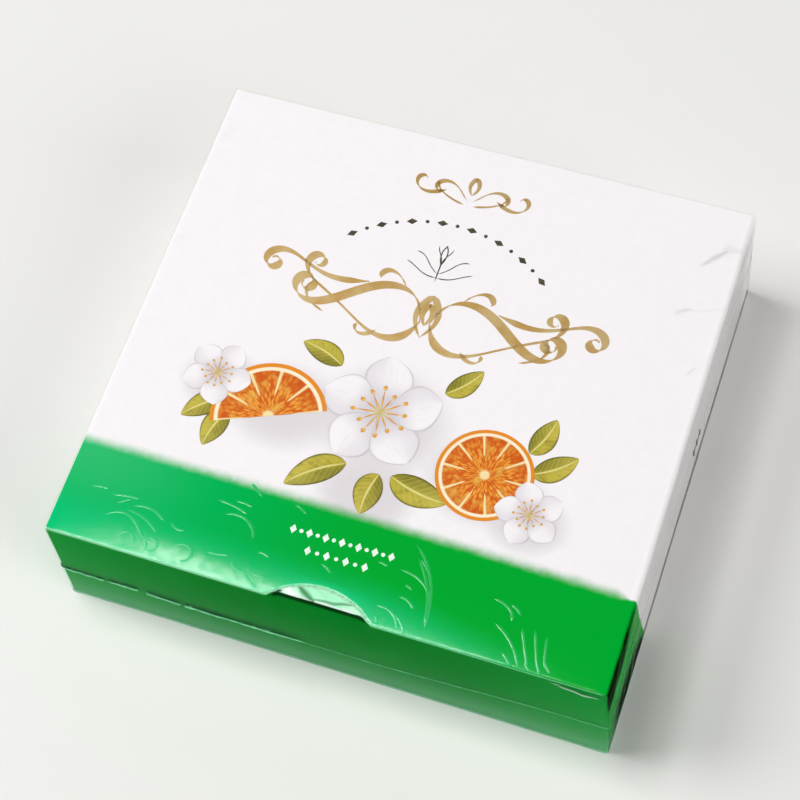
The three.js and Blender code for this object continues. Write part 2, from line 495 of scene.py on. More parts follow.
def thumb_push(x, z):
    """How far the front panel is pressed in behind the thumb cut."""
    rise = min(1.0, max(0.0, 1 - (PANEL_TOP - z) / PUSH_REACH))
    return THUMB_PUSH * ease((THUMB_HALF - abs(x)) / PUSH_EASE) * rise**2


def strip_line(depth):
    """The bent strip seen from its side, at a depth in the board: distances behind the end and heights."""
    radius = FOLD_RADIUS - depth
    fold_height = PANEL_TOP - FOLD_RADIUS
    line = [(depth, PANEL_FOOT + rise) for rise in spread(0, fold_height - PANEL_FOOT, PANEL_ROWS)]
    for step in range(FOLD_STEPS + 1):
        angle = step / FOLD_STEPS * math.pi / 2
        line.append((FOLD_RADIUS - radius * math.cos(angle), fold_height + radius * math.sin(angle)))
    flap = spread(0, FLAP_LENGTH - FOLD_RADIUS, FLAP_ROWS)[1:]
    line += [(FOLD_RADIUS + reach, PANEL_TOP - depth) for reach in flap]
    return line + [(FLAP_LENGTH, PANEL_TOP - depth)]


def end_panel(name, facing):
    """A panel with its flap, at the end of the carton that lies towards facing: -1 is the front."""
    sides = []
    for depth in (0.0, BOARD):
        rows = []
        for back, height in strip_line(depth):
            reach = max(0.0, back - FOLD_RADIUS)
            half = PANEL_HALF - (FLAP_INSET + FLAP_TAPER * reach) * min(1.0, reach / FLAP_EASE)
            row = []
            for column in range(PANEL_COLUMNS + 1):
                x = half * (2 * column / PANEL_COLUMNS - 1)
                inward = wall_dent(x, height, seed=facing)
                if facing < 0:
                    inward += thumb_push(x, height)
                inward *= 1 - reach / FLAP_LENGTH
                y = facing * (HALF_DEPTH - FILM_ROOM - back - inward)
                row.append(Vector((x, y, height)))
            rows.append(row)
        sides.append(rows)
    outer, inner = sides
    blank = [[(point.x, point.z) for point in row] for row in outer]
    return sheet_piece(name, [closed_sheet(outer, inner, blank)])


def panel_print(name, middle, ends):
    """One ink all over, lighter towards the two ends and where handling has scuffed it."""
    material, tree = new_material(name)
    across = object_place(tree)[0]
    scuff = tree.lumps(14 * MM, 5.0).rise(0.52, 0.78)
    colour = tree.mix(abs(across).rise(30.0, 84.0) * 0.8 + scuff * 0.2, middle, ends)
    board_surface(tree, colour, tree.mix(0.5, colour, DARK_GREEN_EDGE), 0.4, sheen=0.0)
    return material


for panel_name, facing, slot_name, middle_ink, ends_ink in (
    ("front_end_panel", -1, "board_green", ink(0, 139, 36), ink(2, 163, 54)),
    ("back_end_panel", 1, "board_white", BOARD_WHITE, ink(240, 236, 236)),
):
    panel = end_panel(panel_name, facing)
    panel.data.materials.append(panel_print(panel_name + "_print", middle_ink, ends_ink))
    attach(panel, "root")
    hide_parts("front_panel" if facing < 0 else "back_panel")

# --------------------------------------------------------------------------------------------------
# Printed bouquet. White blossoms, amber citrus slices and olive leaves, offset printed on the roof in thin
# layers of ink, leaves first and stamens last.

INK_FILM = 0.012 * MM


def ink_patch(place, rows, columns, lift):
    """A printed shape as a closed sheet of ink. place gives x and y for a share along and one across."""
    shares_across = [2 * column / columns - 1 for column in range(columns + 1)]
    shares = [[(row / rows, across) for across in shares_across] for row in range(rows + 1)]
    outline = [[place(*share) for share in row] for row in shares]
    face, back = [
        [[on_roof(x * MM, y * MM, height) for x, y in row] for row in outline]
        for height in (lift + INK_FILM, lift)
    ]
    return closed_sheet(face, back, shares)


def blade(root, angle, length, half_width, fullness, bend=0.0):
    """The outline of a petal or leaf that grows from root. fullness moves its widest place out."""
    def place(along, across):
        turn = math.radians(angle + bend * along)
        reach = length * along
        half = half_width * max(0.02, math.sin(math.pi * along**fullness)) ** 0.7
        aside = half * across
        return (
            root[0] + reach * math.cos(turn) - aside * math.sin(turn),
            root[1] + reach * math.sin(turn) + aside * math.cos(turn),
        )
    return place


def wheel(middle, radius, start, end):
    """The outline of a slice of fruit round its middle, from one angle to another."""
    def place(along, across):
        angle = math.radians(start + (end - start) * (across + 1) / 2)
        reach = radius * max(0.01, along)
        return middle[0] + reach * math.cos(angle), middle[1] + reach * math.sin(angle)
    return place


def shape_shares(tree):
    """The shares along and across a printed shape."""
    along, across, _ = tree.split(tree.node("ShaderNodeUVMap", {"uv_map": "blank"}))
    return along, across


def ink_surface(tree, colour):
    sockets = {
        "Base Color": colour,
        "Roughness": tree.lumps(2 * MM) * 0.1 + 0.36,
        "Specular IOR Level": 0.15,
        "Normal": tree.bump(tree.lumps(0.3 * MM), 0.15, 0.01 * MM),
    }
    tree.principled(sockets)


def print_motif(name, patches, material):
    piece = sheet_piece(name, patches)
    piece.data.materials.append(material)
    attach(piece, "root")


def leaf_ink():
    material, tree = new_material("leaf_ink")
    along, across = shape_shares(tree)
    vein_phase = (along * 9.0 - abs(across) * 1.8) * (2 * math.pi)
    veins = vein_phase.sine().rise(0.8, 1.0) * 0.35
    midrib = 1 - abs(across).rise(0.03, 0.12)
    shade = tree.mix(across.rise(-0.5, 0.6), ink(186, 172, 60), ink(132, 126, 38))
    shade = tree.mix(along.rise(0.1, 1.0) * 0.5, shade, ink(206, 192, 86))
    shade = tree.mix(tree.lumps(2.5 * MM, 4.0).rise(0.45, 0.7) * 0.4, shade, ink(112, 106, 30))
    shade = tree.mix(veins, shade, ink(214, 204, 110))
    shade = tree.mix(midrib, shade, ink(222, 212, 128))
    ink_surface(tree, tree.mix(abs(across).rise(0.78, 1.0) * 0.8, shade, ink(74, 72, 26)))
    return material


LEAF_LIFT = 0.005 * MM
LEAF_FULLNESS = 0.85
LEAF_BEND = 14
LEAVES = (                      # root, angle, length and half-width of each leaf
    ((-7.0, -33.5), 202, 18.5, 4.4),
    ((3.0, -34.0), 250, 13.0, 4.2),
    ((6.5, -33.5), 335, 18.0, 4.6),
    ((-47.0, -24.0), 205, 14.0, 3.8),
    ((-45.0, -27.5), 240, 13.0, 3.8),
    ((44.0, -21.5), 22, 14.0, 3.8),
    ((41.5, -15.5), 55, 13.0, 3.6),
    ((13.0, -4.5), 35, 13.0, 3.4),
    ((-18.5, -4.5), 148, 14.0, 3.6),
)
leaf_patches = []
for number, leaf in enumerate(LEAVES):
    leaf_outline = blade(*leaf, LEAF_FULLNESS, LEAF_BEND)
    leaf_patches.append(ink_patch(leaf_outline, 18, 10, LEAF_LIFT + number * INK_FILM * 0.3))
print_motif("printed_leaves", leaf_patches, leaf_ink())

SLICE_LIFT = 0.045 * MM
SLICE_ROWS = 40
SEGMENTS = 10


def citrus_ink(segments):
    material, tree = new_material(f"citrus_ink_{segments}")
    along, across = shape_shares(tree)
    turn = (across + 1) * (segments / 2)
    in_segment = abs(turn.math("FRACT", turn) - 0.5) * 2
    membrane = (in_segment * along.rise(0.0, 0.5)).rise(0.84, 0.95)
    membrane = membrane.math("MAXIMUM", membrane, 1 - along.rise(0.07, 0.13))
    pulp_place = tree.node("ShaderNodeCombineXYZ", {}, {0: along * 9, 1: turn * 7, 2: 0.0})
    pulp = tree.node("ShaderNodeTexVoronoi", {"feature": "F1"}, {"Vector": pulp_place, "Scale": 1.0})
    flesh = tree.mix(pulp.rise(0.1, 0.75), ink(241, 168, 62), ink(205, 92, 14))
    flesh = tree.mix(along.rise(0.45, 0.86) * 0.6, flesh, ink(201, 82, 9))
    flesh = tree.mix(tree.lumps(3.5 * MM, 3.0).rise(0.5, 0.7) * 0.5, flesh, ink(229, 190, 84))
    flesh = tree.mix(membrane, flesh, ink(243, 222, 164))
    pith = tree.mix(along.rise(0.845, 0.875), flesh, ink(247, 236, 204))
    ink_surface(tree, tree.mix(along.rise(0.915, 0.935), pith, ink(226, 138, 34)))
    return material


for motif, start, end, columns, segments in (
    ("half_slice", 22, 202, 80, SEGMENTS // 2),
    ("round_slice", 0, 360, 96, SEGMENTS),
):
    slice_x, slice_y, slice_radius = BOUQUET[motif]
    slice_outline = wheel((slice_x, slice_y), slice_radius, start, end)
    slice_patch = ink_patch(slice_outline, SLICE_ROWS, columns, SLICE_LIFT)
    print_motif("printed_" + motif, [slice_patch], citrus_ink(segments))

PETAL_LIFT = 0.06 * MM
PETALS = 5
PETAL_ROOT = 0.08               # where a petal starts, over the blossom's radius
PETAL_FULLNESS = 1.25
PETAL_BEND = 9
BLOSSOM_TURNS = {"blossom": 90, "left_bud": 60, "right_bud": 30}


def petal_ink():
    material, tree = new_material("petal_ink")
    along, across = shape_shares(tree)
    grain_place = tree.node("ShaderNodeCombineXYZ", {}, {0: along * 2, 1: across * 9, 2: 0.0})
    grain = tree.lumps(1.0, 3.0, grain_place)
    shade = tree.mix(along.rise(0.05, 0.6), ink(205, 199, 204), ink(243, 239, 241))
    shade = tree.mix(across.rise(-0.3, 0.9) * 0.6, shade, ink(216, 210, 214))
    shade = tree.mix(grain.rise(0.5, 0.75) * 0.35, shade, ink(222, 217, 220))
    ink_surface(tree, tree.mix(abs(across).rise(0.86, 1.0) * 0.7, shade, ink(192, 186, 190)))
    return material


def polar_place(middle_x, middle_y, reach, angle):
    """The place at a distance and an angle in degrees from a middle."""
    turn = math.radians(angle)
    return middle_x + reach * math.cos(turn), middle_y + reach * math.sin(turn)


def blossom_petals(middle_x, middle_y, radius, turn):
    """Five petals that overlap round a middle, each a little above the one before."""
    patches = []
    for number in range(PETALS):
        angle = turn + 360 / PETALS * number
        root = polar_place(middle_x, middle_y, PETAL_ROOT * radius, angle)
        outline = blade(root, angle, radius * (1 - PETAL_ROOT), radius * 0.4, PETAL_FULLNESS, PETAL_BEND)
        patches.append(ink_patch(outline, 20, 12, PETAL_LIFT + number * INK_FILM * 0.5))
    return patches


petal_patches = []
for motif, turn in BLOSSOM_TURNS.items():
    petal_patches += blossom_petals(*BOUQUET[motif], turn)
print_motif("printed_petals", petal_patches, petal_ink())

STAMEN_LIFT = 0.1 * MM
STAMENS = 12


def stamen_ink():
    material, tree = new_material("stamen_ink")
    along, across = shape_shares(tree)
    shade = tree.mix(along.rise(0.0, 0.75), ink(222, 210, 132), ink(226, 152, 40))
    ink_surface(tree, tree.mix(abs(across).rise(0.5, 1.0) * 0.5, shade, ink(190, 120, 30)))
    return material


def blossom_stamens(middle_x, middle_y, radius):
    """A ring of stamens, each a thread with a pollen sac at its tip."""
    patches = []
    for number in range(STAMENS):
        angle = 360 / STAMENS * number + 7
        reach = radius * (0.34 + 0.05 * math.sin(number * 2.4))
        tip = polar_place(middle_x, middle_y, reach, angle)
        thread = blade((middle_x, middle_y), angle, reach, radius * 0.014, 0.9)
        sac = blade(tip, angle, radius * 0.1, radius * 0.035, 1.0)
        patches += [ink_patch(thread, 6, 2, STAMEN_LIFT), ink_patch(sac, 8, 4, STAMEN_LIFT + INK_FILM)]
    return patches


stamen_patches = [patch for motif in BLOSSOM_TURNS for patch in blossom_stamens(*BOUQUET[motif])]
print_motif("printed_stamens", stamen_patches, stamen_ink())

# --------------------------------------------------------------------------------------------------
# Gold foil. A scroll flourish and a small crest, stamped with a heated die in strokes like those of a broad
# pen, which swell and thin as they turn. Both are the same left and right.

PEN_ANGLE = math.radians(40)
FOIL_THICKNESS = 0.03 * MM
FOIL_LIFT = 0.005 * MM
SCROLL_STEP = 0.35              # distance between the points of a stroke, in millimetres


def scroll(start, heading, bends):
    """Points along a stroke. Each bend gives a length and the curvature at its two ends, in millimetres."""
    x, y = start
    angle = math.radians(heading)
    points = [(x, y)]
    for length, curve_start, curve_end in bends:
        count = max(2, round(length / SCROLL_STEP))
        step = length / count
        for number in range(count):
            turn = step * (curve_start + (curve_end - curve_start) * (number + 0.5) / count)
            angle += turn / 2
            x += step * math.cos(angle)
            y += step * math.sin(angle)
            angle += turn / 2
            points.append((x, y))
    return points


def line_curves(name, lines, weights):
    """A curve object with one straight-sided spline for each list of points, each with a weight of pen."""
    curves = bpy.data.curves.new(name, "CURVE")
    curves.dimensions = "3D"
    for points, weight in zip(lines, weights):
        spline = curves.splines.new("POLY")
        spline.points.add(len(points) - 1)
        for place, point in zip(spline.points, points):
            place.co = (*point, 1.0)
            place.radius = weight
    holder = bpy.data.objects.new(name, curves)
    bpy.context.scene.collection.objects.link(holder)
    return holder


def pen_curves(name, strokes, shift=(0.0, 0.0), scale=1.0):
    """A curve object that holds strokes, each given as start, heading, bends and weight of pen."""
    lines = []
    for start, heading, bends, _ in strokes:
        points = scroll(start, heading, bends)
        lines.append([((shift[0] + x * scale) * MM, (shift[1] + y * scale) * MM, 0.0) for x, y in points])
    return line_curves(name, lines, [weight for *_, weight in strokes])


def geometry_tree(name, inputs):
    """A Geometry Nodes tree with named inputs. Gives the tree and the wires of its inputs."""
    group = bpy.data.node_groups.new(name, "GeometryNodeTree")
    group.interface.new_socket("Geometry", in_out="INPUT", socket_type="NodeSocketGeometry")
    group.interface.new_socket("Geometry", in_out="OUTPUT", socket_type="NodeSocketGeometry")
    for label, kind in inputs.items():
        group.interface.new_socket(label, in_out="INPUT", socket_type=kind)
    tree = Tree(group)
    entry = group.nodes.new("NodeGroupInput")
    return tree, {socket.name: Wire(tree, socket) for socket in entry.outputs if socket.name}


def close_tree(tree, geometry, material):
    """End a tree: instances become real geometry and everything gets its material."""
    realized = tree.node("GeometryNodeRealizeInstances", {}, {0: geometry})
    coloured = tree.node("GeometryNodeSetMaterial", {}, {"Geometry": realized, "Material": material})
    tree.node("NodeGroupOutput", {}, {"Geometry": coloured})


def grow(holder, tree, values):
    """Run a tree on an object with the given inputs and keep what it makes as a mesh."""
    modifier = holder.modifiers.new("grow", "NODES")
    modifier.node_group = tree.tree
    for item in tree.tree.interface.items_tree:
        if item.in_out == "INPUT" and item.name in values:
            modifier[item.identifier] = values[item.name]
    evaluated = holder.evaluated_get(bpy.context.evaluated_depsgraph_get())
    mesh = bpy.data.meshes.new_from_object(evaluated)
    bpy.data.objects.remove(holder)
    return mesh


def pen_tree(name, rounded):
    """Sweep a pen along curves. A rounded stroke is a low rib, any other a flat layer of one thickness."""
    tree, given = geometry_tree(name, {
        "Broad": "NodeSocketFloat", "Hairline": "NodeSocketFloat", "Pen Angle": "NodeSocketFloat",
        "Height": "NodeSocketFloat", "Mirrored": "NodeSocketBool", "Material": "NodeSocketMaterial",
    })
    tangent_x, tangent_y, _ = tree.split(tree.node("GeometryNodeInputTangent"))
    heading = tangent_y.math("ARCTAN2", tangent_y, tangent_x)
    turned = abs((heading - given["Pen Angle"]).sine())
    along = tree.node("GeometryNodeSplineParameter")
    taper = along.rise(0.0, 0.14) * (1 - along.rise(0.9, 1.0)) * 0.8 + 0.2
    weight = tree.node("GeometryNodeInputRadius")
    width = (given["Broad"] * weight * turned + given["Hairline"]) * taper
    level = tree.node("GeometryNodeSetCurveNormal", {"mode": "Z_UP"}, {"Curve": given["Geometry"]})
    if rounded:
        pen = tree.node("GeometryNodeCurvePrimitiveCircle", {}, {"Resolution": 8, "Radius": 0.5})
    else:
        pen = tree.node("GeometryNodeCurvePrimitiveQuadrilateral", {}, {"Width": 1.0, "Height": 1.0})
    sockets = {"Curve": level, "Profile Curve": pen, "Scale": width, "Fill Caps": True}
    swept = tree.node("GeometryNodeCurveToMesh", {}, sockets)
    x, y, z = tree.split(tree.node("GeometryNodeInputPosition"))
    height = z * given["Height"] if rounded else z.math("GREATER_THAN", z, 0.0) * given["Height"]
    pressed = tree.node("ShaderNodeCombineXYZ", {}, {0: x, 1: y, 2: height})
    stroke = tree.node("GeometryNodeSetPosition", {}, {"Geometry": swept, "Position": pressed})
    twin = tree.node("GeometryNodeTransform", {}, {"Geometry": stroke, "Scale": (-1.0, 1.0, 1.0)})
    twin = tree.node("GeometryNodeFlipFaces", {}, {0: twin})
    chosen = {"Switch": given["Mirrored"], "True": twin}
    twin = tree.node("GeometryNodeSwitch", {"input_type": "GEOMETRY"}, chosen)
    both = tree.node("GeometryNodeJoinGeometry", {}, {"Geometry": [stroke, twin]})
    close_tree(tree, both, given["Material"])
    return tree


def lay_on_roof(name, mesh, lift, smooth_to=38):
    """Bend a flat mesh to the roof and make a piece of it."""
    for vertex in mesh.vertices:
        x, y, height = vertex.co
        vertex.co = on_roof(x, y, height + lift)
    return finished_piece(name, mesh, smooth_to)


def foil_finish():
    """Hot-stamped metal foil, with the faint wrinkle that it takes from the board."""
    material, tree = new_material("gold_foil_finish")
    cloud = tree.lumps(7 * MM, 3.0)
    fine = tree.lumps(0.35 * MM, 2.0)
    sockets = {
        "Base Color": tree.mix(cloud.rise(0.35, 0.65), ink(205, 165, 95), ink(219, 190, 132)),
        "Metallic": 0.55,
        "Roughness": fine * 0.2 + 0.28,
        "Normal": tree.bump(fine, 0.3, 0.02 * MM),
    }
    tree.principled(sockets)
    return material


FLOURISH = (                    # one half of the flourish: start, heading, bends and weight of each stroke
    ((1.5, 13.0), 78, [(9, -0.03, -0.13), (12, -0.13, -0.05), (14, -0.05, 0.03), (12, 0.03, 0.2),
                       (14, 0.2, 0.52), (4, 0.52, 0.8)], 1.2),
    ((20.0, 21.5), -14, [(12, 0.0, 0.06), (10, 0.06, 0.0), (10, 0.0, -0.22), (11, -0.22, -0.6),
                         (3, -0.6, -0.8)], 1.0),
    ((1.5, 13.0), -70, [(8, 0.02, 0.14), (16, 0.14, 0.0), (14, 0.0, -0.01), (9, -0.01, 0.2),
                        (10, 0.2, 0.62), (3, 0.62, 0.8)], 1.05),
    ((9.0, 23.0), 55, [(5, -0.05, -0.15), (7, -0.15, -0.6)], 0.7),
    ((30.0, 8.2), 20, [(5, 0.0, 0.1), (8, 0.1, 0.5)], 0.6),
    ((13.0, 6.6), -50, [(4, 0.1, 0.25), (5, 0.25, 0.7)], 0.5),
    ((0.0, 8.0), 53.5, [(8, 0.0, 0.16), (8, 0.16, 0.0)], 0.8),
    ((0.0, 12.0), 61.5, [(4, 0.0, 0.25), (4, 0.25, 0.0)], 0.6),
)
CREST = (
    ((0.8, 2.0), 40, [(5, 0.1, -0.1), (6, -0.1, -0.3), (6, -0.3, -0.9)], 0.8),
    ((8.0, 4.0), -30, [(5, 0.0, 0.15), (6, 0.15, 0.35), (5, 0.35, 0.9)], 0.75),
    ((0.0, 4.0), 55, [(3.5, 0.0, 0.35), (3.5, 0.35, 0.0)], 0.7),
    ((1.5, 0.5), 8, [(6, 0.05, 0.05), (6, 0.05, 0.3)], 0.6),
)
FLOURISH_SHIFT = (0.0, 2.6)
CREST_SHIFT = (0.0, 56.5)

foil_pen = pen_tree("foil_pen", rounded=False)
gold_foil = foil_finish()
for foil_name, strokes, shift, broad in (
    ("foil_flourish", FLOURISH, FLOURISH_SHIFT, 2.3 * MM),
    ("foil_crest", CREST, CREST_SHIFT, 1.6 * MM),
):
    foil_mesh = grow(pen_curves(foil_name, strokes, shift), foil_pen, {
        "Broad": broad, "Hairline": 0.28 * MM, "Pen Angle": PEN_ANGLE,
        "Height": FOIL_THICKNESS, "Mirrored": True, "Material": gold_foil,
    })
    foil = lay_on_roof(foil_name, foil_mesh, FOIL_LIFT)
    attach(foil, "root")

# --------------------------------------------------------------------------------------------------
# Small printed ornaments. A bowed row of dark lozenges and dots and a fine line-drawn sprig lie over the
# flourish, two short white rows on the green band and a dark one on the right wall, each printed in one pass.

ORNAMENT_THICKNESS = 0.012 * MM
ORNAMENT_LIFT = 0.02 * MM
ARC_RADIUS = 44.9 * MM
ARC_MIDDLE = Vector((-0.8, 4.4, 0.0)) * MM
ARC_FROM = math.radians(131)
ARC_TO = math.radians(49)
ARC_STEPS = 80
ARC_ITEMS = 15
WHITE_ROWS = ((29.0, -56.7, 13), (16.8, -61.8, 7))      # width, place and number of items, in millimetres
DOT_SIDES = 12


def row_tree():
    """Lozenges and dots in turn, set evenly along a line and turned with it."""
    tree, given = geometry_tree("ornament_row", {
        "Count": "NodeSocketInt", "Length": "NodeSocketFloat", "Width": "NodeSocketFloat",
        "Dot": "NodeSocketFloat", "Thickness": "NodeSocketFloat", "Material": "NodeSocketMaterial",
    })
    line = tree.node("GeometryNodeResampleCurve", {}, {"Curve": given["Geometry"], "Count": given["Count"]})
    tangent = tree.node("GeometryNodeInputTangent")
    turn = tree.node("FunctionNodeAlignRotationToVector", {"axis": "X"}, {"Vector": tangent})
    number = tree.node("GeometryNodeInputIndex")
    is_dot = number.math("MODULO", number, 2.0)
    shapes = []
    for sides, length, width, chosen in (
        (4, given["Length"], given["Width"], 1 - is_dot),
        (DOT_SIDES, given["Dot"], given["Dot"], is_dot),
    ):
        sides_halved = {0: length * 0.5, 1: width * 0.5, 2: given["Thickness"]}
        size = tree.node("ShaderNodeCombineXYZ", {}, sides_halved)
        plate = tree.node("GeometryNodeMeshCylinder", {}, {"Vertices": sides, "Radius": 1.0, "Depth": 1.0})
        plate = tree.node("GeometryNodeTransform", {}, {"Geometry": plate, "Scale": size})
        sockets = {"Points": line, "Selection": chosen, "Instance": plate, "Rotation": turn}
        shapes.append(tree.node("GeometryNodeInstanceOnPoints", {}, sockets))
    close_tree(tree, tree.node("GeometryNodeJoinGeometry", {}, {"Geometry": shapes}), given["Material"])
    return tree


def plain_ink(name, colour, worn):
    """One colour of ink, a little uneven where the press laid it thinner."""
    material, tree = new_material(name)
    ink_surface(tree, tree.mix(tree.lumps(1.2 * MM, 3.0).rise(0.4, 0.7), colour, worn))
    return material


def lay_on_right_wall(name, mesh, lift):
    """Bend a flat mesh to the right wall and make a piece of it. The mesh's x and y become y and z."""
    wall = HALF_WIDTH - FILM_ROOM
    for vertex in mesh.vertices:
        y, z, height = vertex.co
        vertex.co = (wall - wall_dent(y, z, seed=wall - CREASE_RADIUS) + height + lift, y, z)
    return finished_piece(name, mesh)


ornament_row = row_tree()
dark_ink = plain_ink("dark_ink", ink(66, 62, 50), ink(92, 86, 66))
white_ink = plain_ink("white_ink", ink(240, 250, 240), ink(206, 240, 216))
arc_angles = [ARC_FROM + (ARC_TO - ARC_FROM) * step / ARC_STEPS for step in range(ARC_STEPS + 1)]
arc_outs = [Vector((math.cos(angle), math.sin(angle), 0.0)) for angle in arc_angles]
arc_points = [ARC_MIDDLE + ARC_RADIUS * out for out in arc_outs]
ornament_rows = [("arc_row", arc_points, ARC_ITEMS, 3.4, 2.0, dark_ink)]
for number, (width, back, count) in enumerate(WHITE_ROWS, start=1):
    ends = [Vector((side * width / 2, back, 0.0)) * MM for side in (-1, 1)]
    ornament_rows.append((f"white_row_{number}", ends, count, 2.0, 2.8, white_ink))
for row_name, line_points, count, length, width, row_ink in ornament_rows:
    row_mesh = grow(line_curves(row_name, [line_points], [1.0]), ornament_row, {
        "Count": count, "Length": length * MM, "Width": width * MM, "Dot": 1.2 * MM,
        "Thickness": ORNAMENT_THICKNESS, "Material": row_ink,
    })
    row_piece = lay_on_roof(row_name, row_mesh, ORNAMENT_LIFT)
    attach(row_piece, "root")

SPRIG = (                       # one half of the sprig, in millimetres
    ((0.0, 0.0), 90, [(3.0, 0.0, 0.0), (3.5, 0.0, -0.25), (3.0, -0.25, 0.5)], 0.5),
    ((0.0, 2.0), 30, [(4.0, 0.1, 0.1), (4.0, -0.1, -0.4)], 0.8),
    ((0.0, 1.0), -5, [(4.5, 0.12, 0.16), (4.0, 0.0, -0.1)], 0.8),
    ((0.0, 4.5), 60, [(3.0, 0.25, 0.1), (2.5, 0.3, 0.3)], 0.5),
)
SPRIG_SHIFT = (-1.5, 29.5)
SPRIG_SCALE = 1.3

sprig_mesh = grow(pen_curves("line_sprig", SPRIG, scale=SPRIG_SCALE), foil_pen, {
    "Broad": 0.25 * MM, "Hairline": 0.25 * MM, "Pen Angle": PEN_ANGLE,
    "Height": ORNAMENT_THICKNESS, "Mirrored": True, "Material": dark_ink,
})
for vertex in sprig_mesh.vertices:
    vertex.co += Vector((*SPRIG_SHIFT, 0.0)) * MM
line_sprig = lay_on_roof("line_sprig", sprig_mesh, ORNAMENT_LIFT)
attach(line_sprig, "root")

SIDE_ROW = ((14.4, 10.4), (20.8, 12.0))     # the ends of the right wall's row, as y and z in millimetres
SIDE_ITEMS = 5

side_curve = line_curves("side_marks", [[Vector((y, z, 0.0)) * MM for y, z in SIDE_ROW]], [1.0])
side_mesh = grow(side_curve, ornament_row, {
    "Count": SIDE_ITEMS, "Length": 2.0 * MM, "Width": 8.0 * MM, "Dot": 2.2 * MM,
    "Thickness": ORNAMENT_THICKNESS, "Material": plain_ink("side_ink", ink(8, 14, 3), ink(30, 40, 14)),
})
side_marks = lay_on_right_wall("side_marks", side_mesh, ORNAMENT_LIFT)
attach(side_marks, "root")

# --------------------------------------------------------------------------------------------------
# Embossing. Scrolls and sprays raised in the green band by a male and a female die, so low that they show
# only where light grazes them. Some of their ribs run up to the roof's front edge.

RIB_WIDTH = 0.9 * MM
RIB_RELIEF = 0.15               # height of a rib over its width
RIB_LIFT = -0.01 * MM
EMBOSSED = (                    # start, heading, bends and weight of each rib, in millimetres
    ((-74.2, -61.3), 14, [(5, -0.05, -0.05)], 0.8),
    ((-67.5, -62.2), 16, [(8, -0.03, -0.06)], 0.8),
    ((-65.0, -64.0), 32, [(4, 0.05, -0.1)], 0.7),
    ((-60.6, -63.7), 22, [(11, -0.08, -0.14)], 1.1),
    ((-61.7, -65.2), 0, [(11.5, -0.05, -0.09)], 1.0),
    ((-67.0, -68.6), 50, [(9, -0.16, -0.16), (4, -0.1, -0.05), (6, 0.15, 0.15)], 1.1),
    ((-53.9, -70.4), -60, [(5, -0.08, -0.08)], 0.8),
    ((-48.0, -65.0), -58, [(5, 0.3, 0.3)], 0.9),
    ((-38.0, -54.7), -2, [(9.5, -0.02, -0.05)], 0.8),
    ((-33.0, -53.6), 8, [(5.2, -0.08, -0.08)], 0.7),
    ((-34.5, -58.3), 26, [(13, -0.12, -0.17)], 1.1),
    ((-30.5, -47.3), -26, [(5, -0.06, -0.06)], 0.7),
    ((-35.5, -70.3), -6, [(6.5, 0.1, 0.0)], 0.8),
    ((-23.7, -72.0), -60, [(7, 0.1, 0.15)], 0.9),
    ((-21.5, -66.2), 4, [(3.5, -0.15, -0.15)], 0.8),
    ((-20.6, -72.3), -40, [(3.5, 0.4, 0.4)], 0.8),
    ((-16.5, -49.6), -15, [(4.5, -0.08, -0.08)], 0.7),
    ((-3.5, -64.4), -5, [(4, -0.2, -0.2)], 0.8),
    ((11.5, -59.0), 5, [(3, -0.2, -0.2)], 0.7),
    ((17.9, -59.5), 4, [(15.5, -0.08, -0.11)], 0.9),
    ((22.6, -55.0), -30, [(5, -0.1, -0.1)], 0.7),
    ((20.7, -63.3), -5, [(2.6, -0.25, -0.25)], 0.7),
    ((20.3, -67.0), 5, [(5.5, -0.2, -0.2)], 1.1),
    ((15.0, -71.3), 12, [(10, -0.14, -0.2)], 1.2),
    ((15.6, -74.0), -55, [(2.5, -0.1, -0.1)], 0.8),
    ((21.0, -72.4), -30, [(6, -0.12, -0.12)], 1.1),
    ((45.2, -59.9), -2, [(6, -0.09, -0.16), (3, -0.3, -0.3)], 1.0),
    ((50.2, -60.2), -10, [(4, -0.2, -0.2)], 0.8),
    ((47.5, -66.5), -25, [(14, -0.05, -0.06)], 1.1),
    ((51.9, -73.9), -35, [(5, -0.08, -0.08)], 1.0),
    ((58.3, -74.6), -47, [(4, 0.0, 0.0)], 0.9),
    ((61.4, -73.4), -62, [(4, 0.0, 0.0)], 0.9),
    ((63.0, -72.4), -52, [(4.5, 0.0, 0.05)], 0.9),
    ((19.9, -51.1), -35, [(25.6, -0.055, -0.02)], 1.0),
    ((21.6, -54.7), -44, [(20, -0.05, -0.02)], 0.8),
    ((55.0, -65.7), -67, [(11, 0.0, 0.01)], 1.1),
    ((58.6, -65.4), -72, [(11, 0.0, 0.02)], 1.0),
    ((62.1, -66.1), -80, [(9, 0.0, 0.03)], 0.8),
    ((-61.0, -73.2), 80, [(11, -0.42, -0.5)], 0.9),
    ((-53.5, -73.6), 100, [(10, -0.45, -0.55)], 0.9),
    ((-45.0, -72.0), 60, [(12, -0.25, -0.5)], 0.9),
    ((-27.5, -70.5), -80, [(8, 0.28, 0.5)], 1.1),
)
FRONT_LIMIT = -HALF_DEPTH + FILM_ROOM + 0.3 * MM            # no rib runs further forward
# painted highlight: the ribs' green is paler all over, so that they read as lit
RIB_HIGHLIGHT_INK = ink(96, 228, 164)
RIB_HIGHLIGHT_SHARE = 0.18


def embossed_finish():
    """The band's own green, made a little paler all over the ribs as a painted highlight."""
    material, tree = new_material("embossed_green")
    across, along, _ = object_place(tree)
    colour = tree.mix(RIB_HIGHLIGHT_SHARE, band_green_and_glare(tree, across, along), RIB_HIGHLIGHT_INK)
    board_surface(tree, colour, RAW_BOARD, roughness=0.42, varnish=0.6)
    return material


